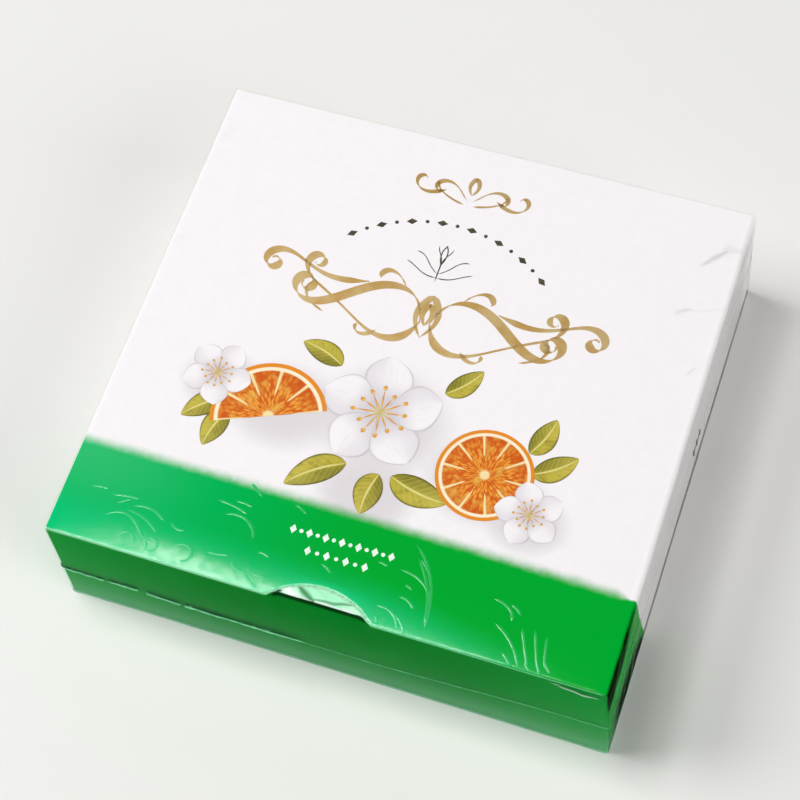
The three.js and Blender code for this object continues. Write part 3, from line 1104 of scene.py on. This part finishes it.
rib_mesh = grow(pen_curves("embossed_scrolls", EMBOSSED), pen_tree("embossing_rib", rounded=True), {
    "Broad": RIB_WIDTH * 0.35, "Hairline": RIB_WIDTH * 0.65, "Pen Angle": PEN_ANGLE,
    "Height": RIB_RELIEF, "Mirrored": False, "Material": embossed_finish(),
})
for vertex in rib_mesh.vertices:
    vertex.co.y = max(vertex.co.y, FRONT_LIMIT)
embossed_scrolls = lay_on_roof("embossed_scrolls", rib_mesh, RIB_LIFT, smooth_to=80)
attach(embossed_scrolls, "root")

# --------------------------------------------------------------------------------------------------
# Shrink film. A sleeve of clear film, thinner than paper, shrunk tight over the carton with hot air. It
# bridges the thumb cut, gathers along the right wall and at the corners, and is milky where folded. Painted
# glare and highlights whiten it in places, and painted shade darkens its folds and streaks on the right wall.

FILM_CLEAR = 0.06 * MM          # how far the roof's film stays below the carton's full height
FILM_ROUNDING = Vector((1.3, 0.6, 0.9)) * MM
ROUNDING_SHARES = (0.0, 0.19, 0.42, 0.69, 1.0)
FILM_FOOT = 0.03 * MM           # the film's floor edges are sharp, all others rounded
FACES_ENOUGH = 0.6              # how squarely a point of the film faces a way to count as that panel's
THUMB_DIP = 0.3 * MM            # how far the film sinks in the thumb cut, and over which distance
DIP_REACH = 1.2 * MM
SLACK_SIZE = 17 * MM            # size of the film's slack waves, and their height on the roof and the walls
ROOF_SLACK = 0.03 * MM
WALL_SLACK = 0.12 * MM
CORNER_CRUMPLE = 9 * MM         # size and height of its crumples near the corners, and on two of the walls
CORNER_RELIEF = 0.18 * MM
RIGHT_CRUMPLE = 11 * MM
RIGHT_RELIEF = 0.04 * MM
FRONT_CRUMPLE = 16 * MM
FRONT_RELIEF = 0.05 * MM
FOLD_WAVER = 5.0                # distance between the bends of a fold, in millimetres
FOLD_TAPER = 0.6                # how much narrower a fold is at its ends
FOLDS = {                       # folds of the film on each panel, in millimetres:
    "roof": (                   # line, half-width, relief, milkiness (where raised, a painted highlight), painted shade
        (((71.6, 56.4), (74.1, 59.5), (78.2, 62.6)), 0.9, 0.14, 0.0, 0.17),
        (((77.5, 62.2), (81.8, 64.0)), 2.2, 0.10, 0.0, 0.07),
        (((69.2, 39.7), (73.0, 41.2)), 0.8, 0.12, 0.0, 0.14),
        (((73.0, 41.2), (82.1, 43.9)), 0.6, 0.08, 0.0, 0.06),
        (((77.0, 20.5), (78.8, 23.6)), 0.6, 0.10, 0.0, 0.13),
        (((-81.0, 58.0), (-76.0, 66.0)), 0.7, 0.06, 0.0, 0.04),
        (((-82.0, 20.0), (-77.0, 24.0)), 0.6, 0.05, 0.0, 0.04),
    ),
    "thumb": (
        (((-12.0, -72.6), (-9.0, -74.2), (-6.0, -75.6)), 2.3, 0.20, 1.0, 0.0),
        (((-8.0, -75.2), (1.0, -75.1), (11.6, -75.7)), 0.5, 0.10, 0.95, 0.0),
        (((-7.6, -71.8), (-5.0, -73.4), (-2.2, -74.9)), 1.5, -0.10, -0.85, 0.0),
        (((-2.2, -74.3), (3.5, -74.4), (8.8, -73.2)), 0.7, -0.10, -0.7, 0.0),
        (((-3.0, -71.5), (1.5, -73.0)), 0.5, 0.05, -0.15, 0.0),
        (((6.5, -74.9), (9.8, -75.4)), 0.6, 0.10, 0.95, 0.0),
        (((10.6, -75.4), (13.6, -76.8)), 0.9, 0.0, -0.9, 0.6),
        (((-15.9, -77.0), (-13.6, -75.6), (-11.8, -74.9)), 1.6, -0.1, -0.95, 0.9),
    ),
    "front": (
        (((66.5, 45.9), (70.6, 43.6), (75.8, 43.0), (80.5, 43.3)), 0.55, 0.10, 0.9, 0.0),
        (((69.0, 45.2), (75.0, 44.4), (81.5, 44.6)), 0.6, 0.0, 0.0, 0.45),
        (((79.0, 36.0), (81.5, 22.0)), 0.8, 0.12, 0.10, 0.0),
        (((70.0, 14.0), (77.0, 16.5), (82.0, 15.0)), 0.6, 0.10, 0.08, 0.05),
        (((40.0, 29.0), (48.0, 26.0), (53.0, 28.5)), 0.6, 0.06, 0.03, 0.05),
        (((57.0, 33.0), (61.0, 27.0)), 0.6, 0.06, 0.03, 0.05),
        (((-81.5, 24.0), (-77.0, 17.0)), 0.7, 0.08, 0.10, 0.0),
    ),
    "right": (
        (((-50.0, 44.0), (-60.0, 27.0), (-69.0, 12.0)), 0.8, 0.20, 0.22, 0.0),
        (((-44.5, 26.0), (-55.0, 4.0)), 0.7, 0.20, 0.28, 0.0),
        (((-47.0, 32.0), (-62.0, 8.0)), 0.6, 0.15, 0.2, 0.0),
        (((-58.0, 36.0), (-76.0, 22.0)), 0.7, 0.20, 0.2, 0.0),
        (((-66.0, 30.0), (-77.0, 31.0)), 0.7, 0.15, 0.15, 0.0),
        (((-70.0, 24.0), (-77.0, 12.0)), 0.9, 0.20, 0.0, 0.45),
        (((46.0, 36.0), (60.0, 28.0), (76.0, 24.0)), 2.2, 0.20, 0.03, 0.06),
        (((52.0, 10.0), (66.0, 15.0), (77.0, 27.0)), 2.0, 0.18, 0.03, 0.06),
        (((58.0, 45.0), (68.0, 40.0), (77.0, 38.0)), 1.8, 0.18, 0.03, 0.05),
        (((38.0, 26.0), (47.0, 20.0)), 2.0, 0.14, 0.0, 0.05),
    ),
}


def graded(low, high, rounding, step, fine_step, fine):
    """Places from low to high: closer over the rounded ends and over the spans that are fine."""
    ends = [share * rounding for share in ROUNDING_SHARES]
    places = [low + offset for offset in ends]
    while places[-1] < high - rounding:
        is_fine = any(start <= places[-1] < end for start, end in fine)
        places.append(places[-1] + (fine_step if is_fine else step))
    while places[-1] > high - rounding - 0.3 * MM:
        places.pop()
    return places + [high - offset for offset in reversed(ends)]


def spans(*ends):
    return [(start * MM, end * MM) for start, end in ends]


film_top = HEIGHT - FILM_CLEAR
fine_xs = spans((-16.5, 16.5), (68, 81))
fine_ys = spans((-77, -69.5), (20, 24.5), (39, 44.5), (56, 65))
fine_zs = spans((42.3, 46.2))
film_xs = graded(-HALF_WIDTH, HALF_WIDTH, FILM_ROUNDING.x, 1.6 * MM, 0.45 * MM, fine_xs)
film_ys = graded(-HALF_DEPTH, HALF_DEPTH, FILM_ROUNDING.y, 1.15 * MM, 0.36 * MM, fine_ys)
film_zs = graded(FILM_FOOT, film_top, FILM_ROUNDING.z, 0.85 * MM, 0.35 * MM, fine_zs)
film_zs = film_zs[:1] + film_zs[len(ROUNDING_SHARES) - 1:]


def line_share(across, along, line, half_width):
    """1 on a line of points and 0 beyond its half-width. The line wavers, and tapers towards its ends."""
    waver = half_width * noise.noise(Vector((across, along, half_width)) / FOLD_WAVER)
    across += waver
    along -= waver
    nearest = 1.0
    for index, ((start_x, start_y), (end_x, end_y)) in enumerate(zip(line, line[1:])):
        run_x = end_x - start_x
        run_y = end_y - start_y
        share = ((across - start_x) * run_x + (along - start_y) * run_y) / (run_x**2 + run_y**2)
        share = min(1.0, max(0.0, share))
        distance = math.hypot(across - start_x - run_x * share, along - start_y - run_y * share)
        from_middle = 2 * (index + share) / (len(line) - 1) - 1
        nearest = min(nearest, distance / (half_width * (1 - FOLD_TAPER * from_middle**2)))
    return (1 - nearest**2) ** 2


def panel_folds(point, out):
    """The folds of the panel that a point of the film lies on, and its place on that panel in millimetres."""
    x, y, z = point / MM
    if out.z > FACES_ENOUGH:
        in_thumb = thumb_depth(point.x) > point.y + HALF_DEPTH
        return FOLDS["thumb" if in_thumb else "roof"], x, y
    if out.y < -FACES_ENOUGH:
        return FOLDS["front"], x, z
    if out.x > FACES_ENOUGH:
        return FOLDS["right"], y, z
    return (), 0.0, 0.0


def crumple(point, size):
    """Sharp-crested folds about size apart, from 0 to 1."""
    return max(0.0, 1 - 2.2 * abs(noise.noise(point / size))) ** 5


def film_swell(point, out):
    """How far the film stands out from its smooth shape at a point of its face."""
    x, y, z = point
    top = max(0.0, out.z)
    right = max(0.0, out.x)
    wall = 1 - top
    slack = noise.noise(point / SLACK_SIZE) * 0.5 + 0.5
    near_corner = max(0.0, 1 - max(HALF_WIDTH - abs(x), HALF_DEPTH - abs(y)) / (22 * MM))
    swell = ROOF_SLACK * top * (slack - 0.5)
    swell += wall * WALL_SLACK * slack
    swell += wall * near_corner * CORNER_RELIEF * crumple(point, CORNER_CRUMPLE)
    swell += right * RIGHT_RELIEF * (1 + 1.25 * slack) * crumple(Vector((x, y * 0.9, z)), RIGHT_CRUMPLE)
    swell += max(0.0, -out.y) * FRONT_RELIEF * crumple(point, FRONT_CRUMPLE)
    inside = thumb_depth(x) - (y + HALF_DEPTH)
    if top > FACES_ENOUGH and inside > 0:
        swell -= THUMB_DIP * min(1.0, inside / DIP_REACH)
    folds, across, along = panel_folds(point, out)
    for line, half_width, relief, _, _ in folds:
        if relief:
            swell += relief * MM * line_share(across, along, line, half_width * 1.4)
    return swell


def film_place(x, y, z):
    """The film's smooth shape at a place on the box round the carton: a point and its outward direction."""
    half_x = HALF_WIDTH - FILM_ROUNDING.x
    half_y = HALF_DEPTH - FILM_ROUNDING.y
    core_x = min(max(x, -half_x), half_x)
    core_y = min(max(y, -half_y), half_y)
    core = Vector((core_x, core_y, min(z, film_top - FILM_ROUNDING.z)))
    reach = Vector((x, y, z)) - core
    shares = Vector([offset / rounding for offset, rounding in zip(reach, FILM_ROUNDING)]).normalized()
    point = core + Vector([share * rounding for share, rounding in zip(shares, FILM_ROUNDING)])
    out = Vector([share / rounding for share, rounding in zip(shares, FILM_ROUNDING)]).normalized()
    return point, out


def film_point(x, y, z):
    """The film's point for a place on the box round the carton, and its outward direction."""
    point, out = film_place(x, y, z)
    near_front = max(0.0, 1 - (point.y + HALF_DEPTH) / (8 * MM))
    point.y += near_front * thumb_push(x, min(point.z, PANEL_TOP))
    dent = max(0.0, out.z) ** 2 * roof_dent(x, y) * 0.9
    dent += out.x**2 * wall_dent(y, z, seed=0) * 0.5 + out.y**2 * wall_dent(x, z, seed=0) * 0.5
    point += out * (film_swell(point, out) - dent)
    point.z = min(point.z, HEIGHT - 0.01 * MM)
    return point, out


def film_skin():
    """The film as one closed skin over the roof, down the four walls and under the floor."""
    points, outs, faces, found = [], [], [], {}
    last_x, last_y, last_z = [len(places) - 1 for places in (film_xs, film_ys, film_zs)]

    def corner(i, j, k):
        if (i, j, k) not in found:
            found[i, j, k] = len(points)
            point, out = film_point(film_xs[i], film_ys[j], film_zs[k])
            points.append(point)
            outs.append(out)
        return found[i, j, k]

    def cell(a, b):
        return (a, b), (a + 1, b), (a + 1, b + 1), (a, b + 1)

    for i in range(last_x):
        for j in range(last_y):
            faces.append([corner(*place, last_z) for place in cell(i, j)])
    for k in range(last_z):
        for j in (0, last_y):
            for i in range(last_x):
                faces.append([corner(a, j, b) for a, b in cell(i, k)])
        for i in (0, last_x):
            for j in range(last_y):
                faces.append([corner(i, a, b) for a, b in cell(j, k)])
    rim = [(i, 0) for i in range(last_x)] + [(last_x, j) for j in range(last_y)]
    rim += [(last_x - i, last_y) for i in range(last_x)] + [(0, last_y - j) for j in range(last_y)]
    faces.append([corner(i, j, 0) for i, j in rim])
    return points, outs, faces


# The film's marks. Lengths are in millimetres, all others are shares.
MARKS = ("milk", "mint", "shade", "gloss")
ARC_MILK = 0.7                  # a fine milky line along the thumb cut
ARC_LINE_HALF = 0.32
EDGE_HIGHLIGHT = 0.38                # a painted highlight along the roof's front edge, which clears to the right
EDGE_HIGHLIGHT_END = 60
EDGE_HIGHLIGHT_REACH = 90
THUMB_GLARE = 0.93               # painted glare: the film over the thumb cut is white at its sides, greener in the middle
THUMB_MOTTLE = 0.08
THUMB_MINT_HALF = 5
GAP_SHADE_HALF = 13.5               # painted shade: the film turns dark in a line along the front wall's top, under the thumb cut
GAP_SHADE = 0.75
FILM_GLARE_MILK = 0.06               # a faint painted glare over the band's left end
FILM_GLARE_START = -35               # where it starts from the right, and its back and front ends
FILM_GLARE_BACK = -46
FILM_GLARE_FRONT = -74
HAZE = 0.42                     # how milky the front wall's film grows towards the floor, and at most; partly a painted reflection of the pale table
HAZE_MOST = 0.27
HAZE_REACH = 11.0               # over what height it clears
HAZE_RIGHT = 0.4                # its share on the right wall
FOOT_MILK = 0.45                # the film is gathered at the floor, and milky there, which also paints light over the shade at its foot
FOOT_REACH = 2.0
STREAK_START = -49.0            # where the right wall's streaks of painted shade begin
WEDGE_SHADE = 0.88              # the upper streak is a wedge below the roof's edge: its depth and growth
WEDGE_DEEP = 11
WEDGE_GROWTH = 0.12
HOLLOW_SHADE = 0.78             # the lower one is a bow over the floor: its middle, half-length and height
HOLLOW_MIDDLE = -60
HOLLOW_HALF = 19
HOLLOW_HIGH = 17.5
PLEAT_SHADE = 0.35              # fine pleats part both
PLEAT_SLANT = 0.6               # how far they lean back as they rise
PLEAT_WIDTH = 4.0
WALL_SHADE = 0.16               # painted shade: the right wall's film is darkened a little below its rim
RIM_SHADE = 0.04
RIM_HEIGHT = 46


def streak_shade(y, z):
    """How much painted shade darkens the right wall's film near the front, in streaks, for a place in
    millimetres.
    """
    below = HEIGHT / MM - z
    from_start = STREAK_START - y
    wedge_deep = min(from_start, WEDGE_DEEP + from_start * WEDGE_GROWTH)
    wedge = ease((wedge_deep - below) / 2.5) * ease(from_start / 3)
    bow = HOLLOW_HIGH * math.sqrt(max(0.0, 1 - ((y - HOLLOW_MIDDLE) / HOLLOW_HALF) ** 2))
    hollow = ease((bow - z) / 7) * ease((y + 80) / 16) * ease((bow - 1) / 6)
    pleat = 0.5 + noise.noise(Vector(((y - z * PLEAT_SLANT) / PLEAT_WIDTH, z / 30, 0.0)))
    return max(WEDGE_SHADE * wedge, HOLLOW_SHADE * hollow) * (1 - PLEAT_SHADE * ease(1.5 - 2.2 * pleat))


def roof_marks(x, y, in_thumb):
    """The milkiness, which also paints glare, and the mint of the roof's film, for a place in millimetres."""
    if in_thumb:
        milk = THUMB_GLARE + THUMB_MOTTLE * noise.noise(Vector((x, y * 3, 0.0)) / 4)
        return milk, 1 - 0.4 * ease((abs(x) - THUMB_MINT_HALF) / 6)
    film_glare = ease((FILM_GLARE_START - x) / 45) * ease((FILM_GLARE_BACK - y) / 4) * ease((y - FILM_GLARE_FRONT) / 24)
    milk = FILM_GLARE_MILK * film_glare
    mint = float(film_glare > 0)
    behind_arc = y + (HALF_DEPTH - thumb_depth(x * MM)) / MM
    if abs(x) < THUMB_HALF / MM and abs(behind_arc) < ARC_LINE_HALF:
        milk += ARC_MILK
        mint = max(mint, 0.9)
    return milk, mint


def right_marks(y, z):
    """The painted shade and the gloss of the right wall's film, for a place in millimetres."""
    place = Vector((y * 0.8, z, 3.0))
    shade = streak_shade(y, z) + 0.07 * max(0.0, noise.noise(place / 6))
    shade += (RIM_SHADE + WALL_SHADE * ease((RIM_HEIGHT - z) / 4)) * (1 - 0.6 * ease((y - 66) / 8))
    gloss = 0.15 * crumple(Vector((y * 0.8, z, 5.0)) * MM, CORNER_CRUMPLE)
    return shade, gloss


def film_marks(point, out):
    """Milkiness (also painted glare), green tint, painted shade and shine of the film at a point."""
    x, y, z = point / MM
    milk = mint = shade = gloss = 0.0
    if out.z > FACES_ENOUGH:
        in_thumb = thumb_depth(point.x) > point.y + HALF_DEPTH + 0.3 * MM
        milk, mint = roof_marks(x, y, in_thumb)
    on_edge = ease(-out.y / 0.3) * ease(out.z / 0.3) * (abs(x) > THUMB_HALF / MM)
    if on_edge:
        milk += on_edge * EDGE_HIGHLIGHT * ease((EDGE_HIGHLIGHT_END - x) / EDGE_HIGHLIGHT_REACH)
        mint = max(mint, 0.5)
    if out.y < -FACES_ENOUGH:
        milk += min(HAZE_MOST, HAZE * math.exp(-z / HAZE_REACH)) + 0.02 * (x / 80) ** 2
        mint = 1.0
        if abs(x) < GAP_SHADE_HALF and PANEL_TOP / MM - 0.8 < z:
            shade += GAP_SHADE
    if out.x > FACES_ENOUGH:
        shade, gloss = right_marks(y, z)
        if y < STREAK_START:
            mint = 0.9
            milk += HAZE_RIGHT * HAZE * math.exp(-z / HAZE_REACH) * ease((STREAK_START - 15 - y) / 10)
    if out.z < FACES_ENOUGH:
        milk += FOOT_MILK * ease((FOOT_REACH - z) / FOOT_REACH)
        mint = max(mint, 0.8 * (y < STREAK_START))
    folds, across, along = panel_folds(point, out)
    for line, half_width, _, fold_milk_and_highlight, fold_shade in folds:
        share = line_share(across, along, line, half_width)
        if share:
            milk += share * (fold_milk_and_highlight - milk) if fold_milk_and_highlight > 0 else share * fold_milk_and_highlight * milk
            mint *= 1 - share * (fold_milk_and_highlight > 0.8)
            shade += share * fold_shade
    return [min(1.0, max(0.0, value)) for value in (milk, mint, shade, gloss)]


def film_finish():
    """Clear film with a weak shine. Its marks make it milky, which also paints glare, tint that whiteness,
    paint shade into it and raise its shine.
    """
    material, tree = new_material("film_finish")

    def blend(share, first, second):
        return tree.node("ShaderNodeMixShader", {}, {0: share, 1: first, 2: second})

    crinkle = tree.bump(tree.lumps(3.5 * MM, 3.0), 0.12, 0.15 * MM)
    milk, mint, shade, gloss = [
        tree.node("ShaderNodeAttribute", {"attribute_name": mark}, output=2) for mark in MARKS
    ]
    fresnel = tree.node("ShaderNodeFresnel", {}, {"IOR": 1.02, "Normal": crinkle})
    clear = tree.node("ShaderNodeBsdfTransparent", {}, {"Color": (1.0, 1.0, 1.0, 1.0)})
    dark = tree.node("ShaderNodeBsdfTransparent", {}, {"Color": (0.04, 0.07, 0.03, 1.0)})
    shine = tree.node("ShaderNodeBsdfAnisotropic", {}, {"Roughness": 0.15, "Normal": crinkle})
    white = tree.node("ShaderNodeBsdfDiffuse", {}, {"Color": ink(246, 252, 248)})
    tinted = tree.node("ShaderNodeBsdfDiffuse", {}, {"Color": ink(178, 254, 206)})
    skin = blend((fresnel + gloss * 0.06) * (1 - shade * 0.85), blend(shade, clear, dark), shine)
    surface = blend(milk, skin, blend(mint, white, tinted))
    tree.node("ShaderNodeOutputMaterial", {}, {"Surface": surface})
    return material


film_points, film_outs, film_faces = film_skin()
film_mesh = bpy.data.meshes.new("shrink_film")
film_mesh.from_pydata(film_points, [], film_faces)
marks = zip(*[film_marks(point, out) for point, out in zip(film_points, film_outs)])
for mark_name, values in zip(MARKS, marks):
    film_mesh.attributes.new(mark_name, "FLOAT", "POINT").data.foreach_set("value", values)
shrink_film = finished_piece("shrink_film", film_mesh, smooth_to=180)
shrink_film.data.materials.append(film_finish())
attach(shrink_film, "root")

# --------------------------------------------------------------------------------------------------
# Film weld. Where the sleeve's two halves were melted together the film stands up as a thin line of hard
# beads, with a dark strip of painted shade above it. It runs round the walls below the middle, and fades
# where they sank in.

weld_low, weld_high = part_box("film_weld")
WELD_SPREAD = 1.3 * MM
WELD_SETTLE = 0.6 * MM          # how far the weld lies below the solid's plain bead
WELD_LEVEL = weld_low.z + WELD_SPREAD / 2 - WELD_SETTLE
WELD_CLIMB = weld_high.z - weld_low.z - WELD_SPREAD
WELD_CLIMB_START = 10 * MM
WELD_CLIMB_REACH = 64 * MM
WELD_LEFT_RISE = 1.4 * MM
WELD_LEFT_START = -42 * MM
WELD_LEFT_REACH = 20 * MM
WELD_STEP = 0.6 * MM
WELD_CORNER_STEPS = 6
WELD_PROUD = 0.1 * MM
WELD_WANDER = 0.1 * MM          # how far the line strays up and down, and over what length
WELD_WANDER_LENGTH = 9 * MM
WELD_GAPS = ((-56.5, 1.0), (-44.2, 0.4), (-68.0, 0.3))      # where the front beads are parted, in millimetres
GREEN_END = (-52.0, -48.0)      # where the walls' green turns to white, front to back, in millimetres
WELD_SHADE_RISE = 0.62 * MM         # how far above the beads the strip of painted shade lies


def weld_height(x):
    """The weld's middle line. It also rises a little towards the left end."""
    left = WELD_LEFT_RISE * ease((WELD_LEFT_START - x) / WELD_LEFT_REACH)
    return left + WELD_LEVEL + WELD_CLIMB * ease((x - WELD_CLIMB_START) / WELD_CLIMB_REACH)


def weld_line(rise):
    """The weld's line round the carton's walls, at the film's face."""
    inner_x = HALF_WIDTH - FILM_ROUNDING.x
    inner_y = HALF_DEPTH - FILM_ROUNDING.y
    turns = []
    for start, side_x, side_y in ((-90, 1, -1), (0, 1, 1), (90, -1, 1), (180, -1, -1)):
        for step in range(WELD_CORNER_STEPS + 1):
            angle = math.radians(start + step * 90 / WELD_CORNER_STEPS)
            corner = Vector((side_x * inner_x, side_y * inner_y, 0.0))
            turns.append((corner, Vector((math.cos(angle), math.sin(angle), 0.0))))
    line = []
    for (start, out), (end, _) in zip(turns, turns[1:] + turns[:1]):
        count = max(1, round((end - start).length / WELD_STEP))
        for step in range(count):
            reach = Vector((out.x * FILM_ROUNDING.x, out.y * FILM_ROUNDING.y, 0.0)) + out * WELD_PROUD
            point = start + (end - start) * (step / count) + reach
            wander = WELD_WANDER * noise.noise(point / WELD_WANDER_LENGTH)
            point.z = weld_height(point.x) + rise + wander
            line.append(point + out * film_swell(point, out))
    return line


def weld_tree():
    """Beads along a closed line, flattened to the wall, broken in places and faint past Fade Start."""
    tree, given = geometry_tree("weld_bead", {
        "Spread": "NodeSocketFloat", "Proud": "NodeSocketFloat", "Bead Length": "NodeSocketFloat",
        "Break Length": "NodeSocketFloat", "Fade Start": "NodeSocketFloat", "Front": "NodeSocketFloat",
        "Material": "NodeSocketMaterial",
    })
    place = tree.node("GeometryNodeInputPosition")
    across, along, _ = tree.split(place)
    beads = tree.lumps(given["Bead Length"], 1.0, place)
    breaks = tree.lumps(given["Break Length"], 1.0, place)
    past = (across - given["Fade Start"]).rise(0.0, 12 * MM)
    there = breaks.rise(0.36, 0.4) * 0.9 * (1 - past * 0.95)
    swell = (given["Front"] - along).rise(0.0, 2 * MM) * 0.6
    thickness = (beads.rise(0.35, 0.65) * 0.55 + 0.65) * (there + 0.1) * (1 + swell)
    level = tree.node("GeometryNodeSetCurveNormal", {"mode": "Z_UP"}, {"Curve": given["Geometry"]})
    bead = tree.node("GeometryNodeCurvePrimitiveCircle", {}, {"Resolution": 6, "Radius": 0.5})
    shape = tree.node("ShaderNodeCombineXYZ", {}, {0: given["Proud"] * 2, 1: given["Spread"], 2: 1.0})
    bead = tree.node("GeometryNodeTransform", {}, {"Geometry": bead, "Scale": shape})
    sockets = {"Curve": level, "Profile Curve": bead, "Scale": thickness, "Fill Caps": False}
    close_tree(tree, tree.node("GeometryNodeCurveToMesh", {}, sockets), given["Material"])
    return tree


def weld_finish(name, dark, light, cover, share_on_white):
    """Hardened film of the beads, cloudier than the skin, and the strip of painted shade: green over the
    green front, white over white walls.
    """
    material, tree = new_material(name)
    cloud = tree.lumps(2.5 * MM, 2.0)
    across, along, _ = object_place(tree)
    over_white = along.rise(*GREEN_END)
    joined = 1.0
    for middle, half in WELD_GAPS:
        joined = abs(across - middle).rise(half, half + 0.7) * joined
    sockets = {
        "Base Color": tree.mix(over_white, tree.mix(cloud, dark, light), ink(222, 222, 220)),
        "Roughness": 0.5,
        "Specular IOR Level": 0.0,
        "Alpha": (cloud.rise(0.35, 0.6) * 0.35 + cover) * joined * (1 - over_white * (1 - share_on_white)),
    }
    tree.principled(sockets)
    return material


bead_tree = weld_tree()
# the beads' pale mint is partly a painted highlight along them
bead_finish = weld_finish("weld_finish", ink(100, 240, 150), ink(180, 255, 210), 0.7, 0.4)
# the dark strip above the beads is painted shade
weld_shade_finish = weld_finish("weld_painted_shade", ink(8, 50, 18), ink(16, 80, 32), 0.42, 0.08)
for weld_name, rise, spread_share, weld_material in (
    ("film_weld_bead", 0.0, 0.9, bead_finish),
    ("film_weld_painted_shade", WELD_SHADE_RISE, 0.36, weld_shade_finish),
):
    weld_curve = line_curves(weld_name, [weld_line(rise)], [1.0])
    weld_curve.data.splines[0].use_cyclic_u = True
    weld_mesh = grow(weld_curve, bead_tree, {
        "Spread": WELD_SPREAD * spread_share, "Proud": 0.14 * MM, "Bead Length": 2.2 * MM,
        "Break Length": 15 * MM, "Fade Start": -16 * MM, "Front": 3 * MM - HALF_DEPTH,
        "Material": weld_material,
    })
    weld = finished_piece(weld_name, weld_mesh, smooth_to=80)
    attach(weld, "root")
    if weld_name == "film_weld_bead":
        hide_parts("film_weld")

# --------------------------------------------------------------------------------------------------
# Table, lamps and camera. They aren't part of the carton: a pale table top, a large soft lamp on either side,
# two small ones for the gleams on the band, and weak light from all round that leaves the ceiling dim.

TABLE_HALF = 3.0
TABLE_COLOUR = ink(236, 235, 232)
TABLE_WORN = ink(228, 227, 224)

table_mesh = bpy.data.meshes.new("table")
table_corners = [(x * TABLE_HALF, y * TABLE_HALF, 0.0) for x, y in ((-1, -1), (1, -1), (1, 1), (-1, 1))]
table_mesh.from_pydata(table_corners, [], [(0, 1, 2, 3)])
table = bpy.data.objects.new("table", table_mesh)
bpy.context.scene.collection.objects.link(table)
table_finish, table_tree = new_material("table_finish")
table_shade = table_tree.mix(table_tree.lumps(300 * MM, 3.0) * 0.25, TABLE_COLOUR, TABLE_WORN)
table_tree.principled({"Base Color": table_shade, "Roughness": 0.6})
table_mesh.materials.append(table_finish)

LAMPS = {                       # place above the roof's middle, size across and along, and watts
    "key_lamp": (Vector((-1.65, -0.2, 1.74)), 1.1, 1.1, 31.0),
    "fill_lamp": (Vector((1.87, -0.47, 1.03)), 1.6, 1.6, 23.0),
    "left_gleam_lamp": (Vector((-0.355, 0.06, 1.2)), 0.3, 0.19, 3.6),
    "right_gleam_lamp": (Vector((-0.17, 0.043, 1.2)), 0.24, 0.13, 1.3),
}
for lamp_name, (place, across, along, watts) in LAMPS.items():
    lamp_data = bpy.data.lights.new(lamp_name, "AREA")
    lamp_data.shape = "RECTANGLE"
    lamp_data.size = across
    lamp_data.size_y = along
    lamp_data.energy = watts
    lamp = bpy.data.objects.new(lamp_name, lamp_data)
    lamp.location = Vector((0, 0, HEIGHT)) + place
    lamp.rotation_euler = place.to_track_quat("Z", "Y").to_euler()
    bpy.context.scene.collection.objects.link(lamp)

WALL_LIGHT = 0.5
CEILING_LIGHT = 0.04
CEILING = (0.35, 0.75)          # how steeply up the room turns from bright wall to dim ceiling

room = bpy.data.worlds.new("room")
room.use_nodes = True
room.node_tree.nodes.clear()
room_tree = Tree(room.node_tree)
room_up = room_tree.split(room_tree.node("ShaderNodeTexCoord"))[2]
room_light = (1 - room_up.rise(*CEILING)) * WALL_LIGHT + CEILING_LIGHT
room_glow = room_tree.node("ShaderNodeBackground", {}, {"Color": (1, 1, 1, 1), "Strength": room_light})
room_tree.node("ShaderNodeOutputWorld", {}, {"Surface": room_glow})
bpy.context.scene.world = room

CAMERA_AZIMUTH = math.radians(28.033)
CAMERA_ELEVATION = math.radians(62.495)
CAMERA_ROLL = math.radians(-10.111)
CAMERA_DISTANCE = 606.6 * MM
CAMERA_AIM = Vector((-9.34, -0.28, 47)) * MM
away = Vector((
    math.sin(CAMERA_AZIMUTH) * math.cos(CAMERA_ELEVATION),
    -math.cos(CAMERA_AZIMUTH) * math.cos(CAMERA_ELEVATION),
    math.sin(CAMERA_ELEVATION),
))
camera_data = bpy.data.cameras.new("camera")
camera_data.lens = 95.59
camera_data.shift_x = 0.03
camera_data.shift_y = -0.05
camera_data.sensor_width = 36
camera = bpy.data.objects.new("camera", camera_data)
camera.matrix_world = (
    Matrix.Translation(CAMERA_AIM + away * CAMERA_DISTANCE)
    @ away.to_track_quat("Z", "Y").to_matrix().to_4x4()
    @ Matrix.Rotation(CAMERA_ROLL, 4, "Z")
)
bpy.context.scene.collection.objects.link(camera)
bpy.context.scene.camera = camera
bpy.context.scene.view_settings.view_transform = "Standard"
